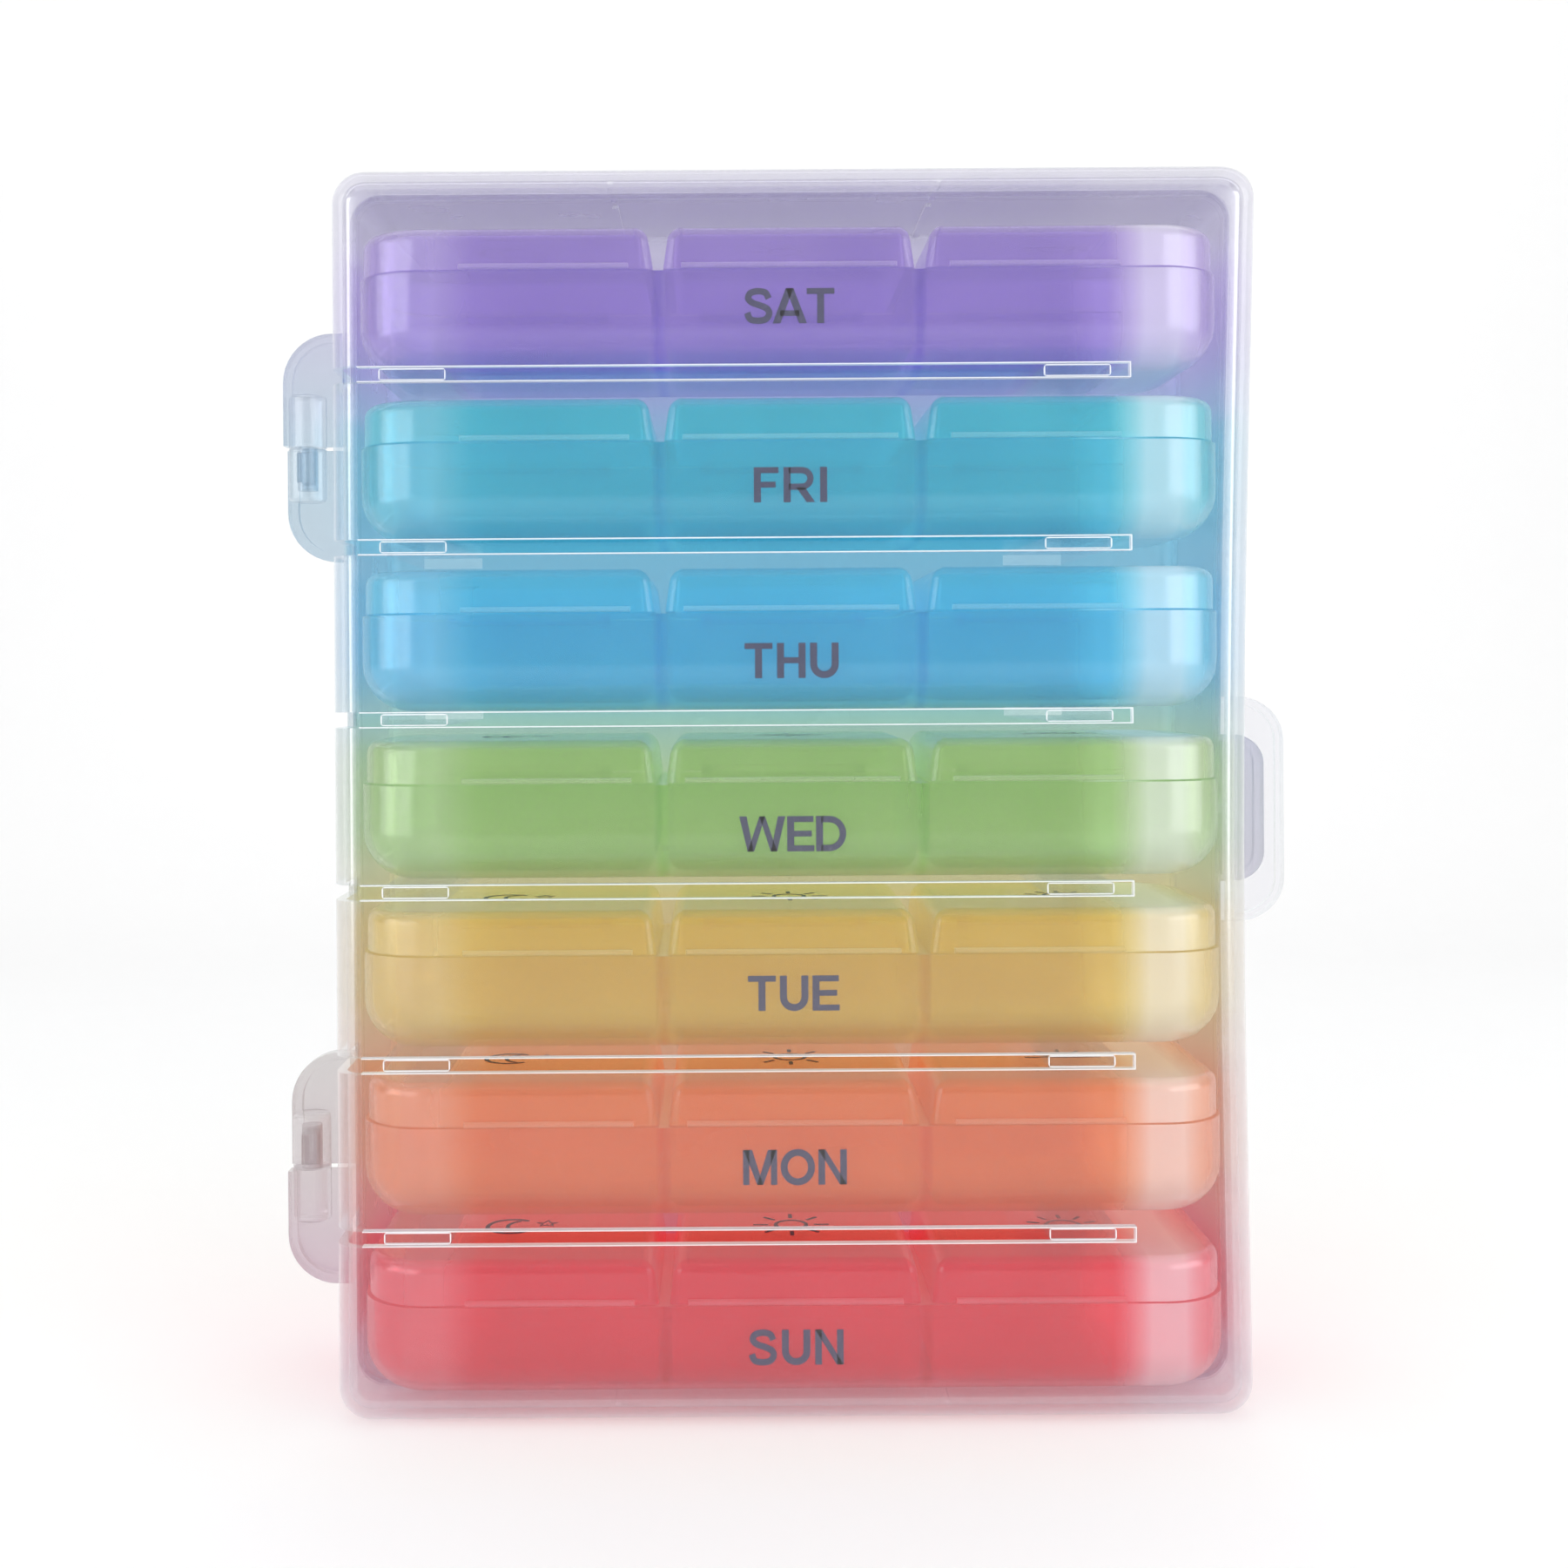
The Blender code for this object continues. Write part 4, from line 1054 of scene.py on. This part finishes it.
def day_label(day, low):
    """The day's short name on the front of the middle compartment."""
    shapes = glyphs()
    letters = [shapes[letter] for letter in day.upper()]
    gap = (LABEL_WIDTHS[day] - sum(width for width, _ in letters)) / (len(letters) - 1)
    faces = []
    at = -LABEL_WIDTHS[day] / 2
    for width, shape in letters:
        faces += [[(corner[0] + at, corner[1] - 0.5) for corner in face] for face in shape]
        at += width + gap

    middle_z = low.z + LABEL_HEIGHTS[day] * MM

    def place(corner):
        return (corner.x * LABEL_CAP_HEIGHT, low.y - PRINT_STANDOFF, middle_z + corner.y * LABEL_CAP_HEIGHT)

    flat_print(f"{day}_name_print", faces, place, day, f"{day}_box")


def lid_pictures():
    """Morning, noon and night for the lids' tops, in millimetres."""
    moon = ribbon(arc((-1.5, 0), (4.2, 4.2), 50, 310, 24), 0.8) + ribbon(arc((1.4, 0), (3.6, 3.6), 115, 245, 16), 0.7)
    star = [(4.6 + (2.0 if step % 2 == 0 else 0.8) * math.sin(math.pi * step / 5),
             1.6 + (2.0 if step % 2 == 0 else 0.8) * math.cos(math.pi * step / 5)) for step in range(10)]
    sun = ribbon(arc((0, 0), (2.7, 2.7), 0, 340, 17), 0.7, True)
    for step in range(8):
        turn = math.radians(45 * step)
        ray = Vector((math.cos(turn), math.sin(turn)))
        sun += ribbon([ray * 4.0, ray * 6.6], 0.7)
    dawn = ribbon(arc((0, -1.5), (3.0, 3.0), 0, 180, 14), 0.7) + ribbon([(-6.6, -1.9), (6.6, -1.9)], 0.7)
    for turn in (20, 55, 90, 125, 160):
        ray = Vector((math.cos(math.radians(turn)), math.sin(math.radians(turn))))
        dawn += ribbon([Vector((0, -1.5)) + ray * 4.2, Vector((0, -1.5)) + ray * 6.4], 0.7)
    return {"left": moon + ribbon(star, 0.5, True), "middle": sun, "right": dawn}


for day in DAYS:
    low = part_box(f"{day}_tray")[0]
    day_label(day, low)
    for kind, faces in lid_pictures().items():
        span = lid_spans()[kind]

        def on_lid(corner):
            return ((span[0] + span[1]) / 2 + corner.x * MM, corner.y * MM + PICTURE_Y,
                    low.z + LID_TOP + PRINT_STANDOFF)

        flat_print(f"{day}_{kind}_picture", faces, on_lid, day, f"{day}_lid_{kind}")


# ---------------------------------------------------------------- studio

CAMERA_DISTANCE = 316.0 * MM    # from the cover's outer face
CAMERA_X = -11.6 * MM
CAMERA_Z = 122.6 * MM
FRAME_WIDTH = 255.8 * MM        # seen at the cover's outer face
CAMERA_ROLL = math.radians(0.38)
SHIFT = (0.04, -0.07)


# name, location, what it points at, size, watts
CASE_MIDDLE = (CENTRE_X, 0, CASE_HEIGHT / 2)
LIGHTS = (
    ("left_softbox", (-0.62, -0.42, 0.20), CASE_MIDDLE, (0.85, 0.7), 4.9),
    ("right_softbox", (0.62, -0.42, 0.20), CASE_MIDDLE, (0.85, 0.7), 5.2),
    ("top_softbox", (0, -0.35, 1.25), (0, -0.05, 0), (1.6, 1.0), 3.3),
    ("back_wash", (0, 0.30, 1.1), (0, 1.0, 0.25), (3.2, 0.4), 7.6),
)
ROOM_LIGHT = 0.34
PAPER_HALF_WIDTH = 4.0
PAPER_NEAR = -4.0               # front end of the paper
PAPER_BEND = 0.5                # where it starts to curve up, and the curve's radius
PAPER_TOP = 2.2
PAPER_DROP = 0.0002             # so that it doesn't touch the object's base


def area_light(name, location, target, size, watts):
    data = bpy.data.lights.new(name, "AREA")
    data.shape = "RECTANGLE"
    data.size, data.size_y = size
    data.energy = watts
    obj = bpy.data.objects.new(name, data)
    bpy.context.scene.collection.objects.link(obj)
    obj.location = location
    obj.rotation_euler = (Vector(target) - Vector(location)).to_track_quat("-Z", "Y").to_euler()


def backdrop():
    """A floor that curves up behind the object."""
    bm = bmesh.new()
    profile = [(PAPER_NEAR, 0.0), (PAPER_BEND, 0.0)]
    for step in range(1, 13):
        angle = math.pi / 2 * step / 12
        profile.append((PAPER_BEND + PAPER_BEND * math.sin(angle), PAPER_BEND - PAPER_BEND * math.cos(angle)))
    profile.append((2 * PAPER_BEND, PAPER_TOP))
    rows = [[bm.verts.new((x, y, z - PAPER_DROP)) for y, z in profile]
            for x in (-PAPER_HALF_WIDTH, PAPER_HALF_WIDTH)]
    for index in range(len(profile) - 1):
        bm.faces.new((rows[0][index], rows[1][index], rows[1][index + 1], rows[0][index + 1]))
    obj = to_object(bm, "studio_paper")
    obj.data.shade_smooth()
    obj.data.materials.append(paper("studio_paper", 0.96))


def room():
    world = bpy.data.worlds.new("studio")
    bpy.context.scene.world = world
    world.use_nodes = True
    background = world.node_tree.nodes["Background"]
    background.inputs["Color"].default_value = (1, 1, 1, 1)
    background.inputs["Strength"].default_value = ROOM_LIGHT


def camera():
    data = bpy.data.cameras.new("camera")
    data.sensor_width = 36.0
    data.lens = data.sensor_width * CAMERA_DISTANCE / FRAME_WIDTH
    data.shift_x, data.shift_y = SHIFT
    data.clip_start = 0.01
    data.clip_end = 20.0
    obj = bpy.data.objects.new("camera", data)
    bpy.context.scene.collection.objects.link(obj)
    obj.location = (CENTRE_X + CAMERA_X, FRONT - CAMERA_DISTANCE, CAMERA_Z)
    obj.rotation_euler = (math.pi / 2, CAMERA_ROLL, 0)
    bpy.context.scene.camera = obj


def light_paths():
    """Enough see-through steps for all the walls of the case and the boxes."""
    bpy.context.scene.view_settings.view_transform = "Standard"
    cycles = bpy.context.scene.cycles
    cycles.transparent_max_bounces = 32
    cycles.max_bounces = 4
    cycles.diffuse_bounces = 2
    cycles.glossy_bounces = 2
    cycles.transmission_bounces = 2


def studio():
    backdrop()
    for light in LIGHTS:
        area_light(*light)
    room()
    camera()
    light_paths()


studio()
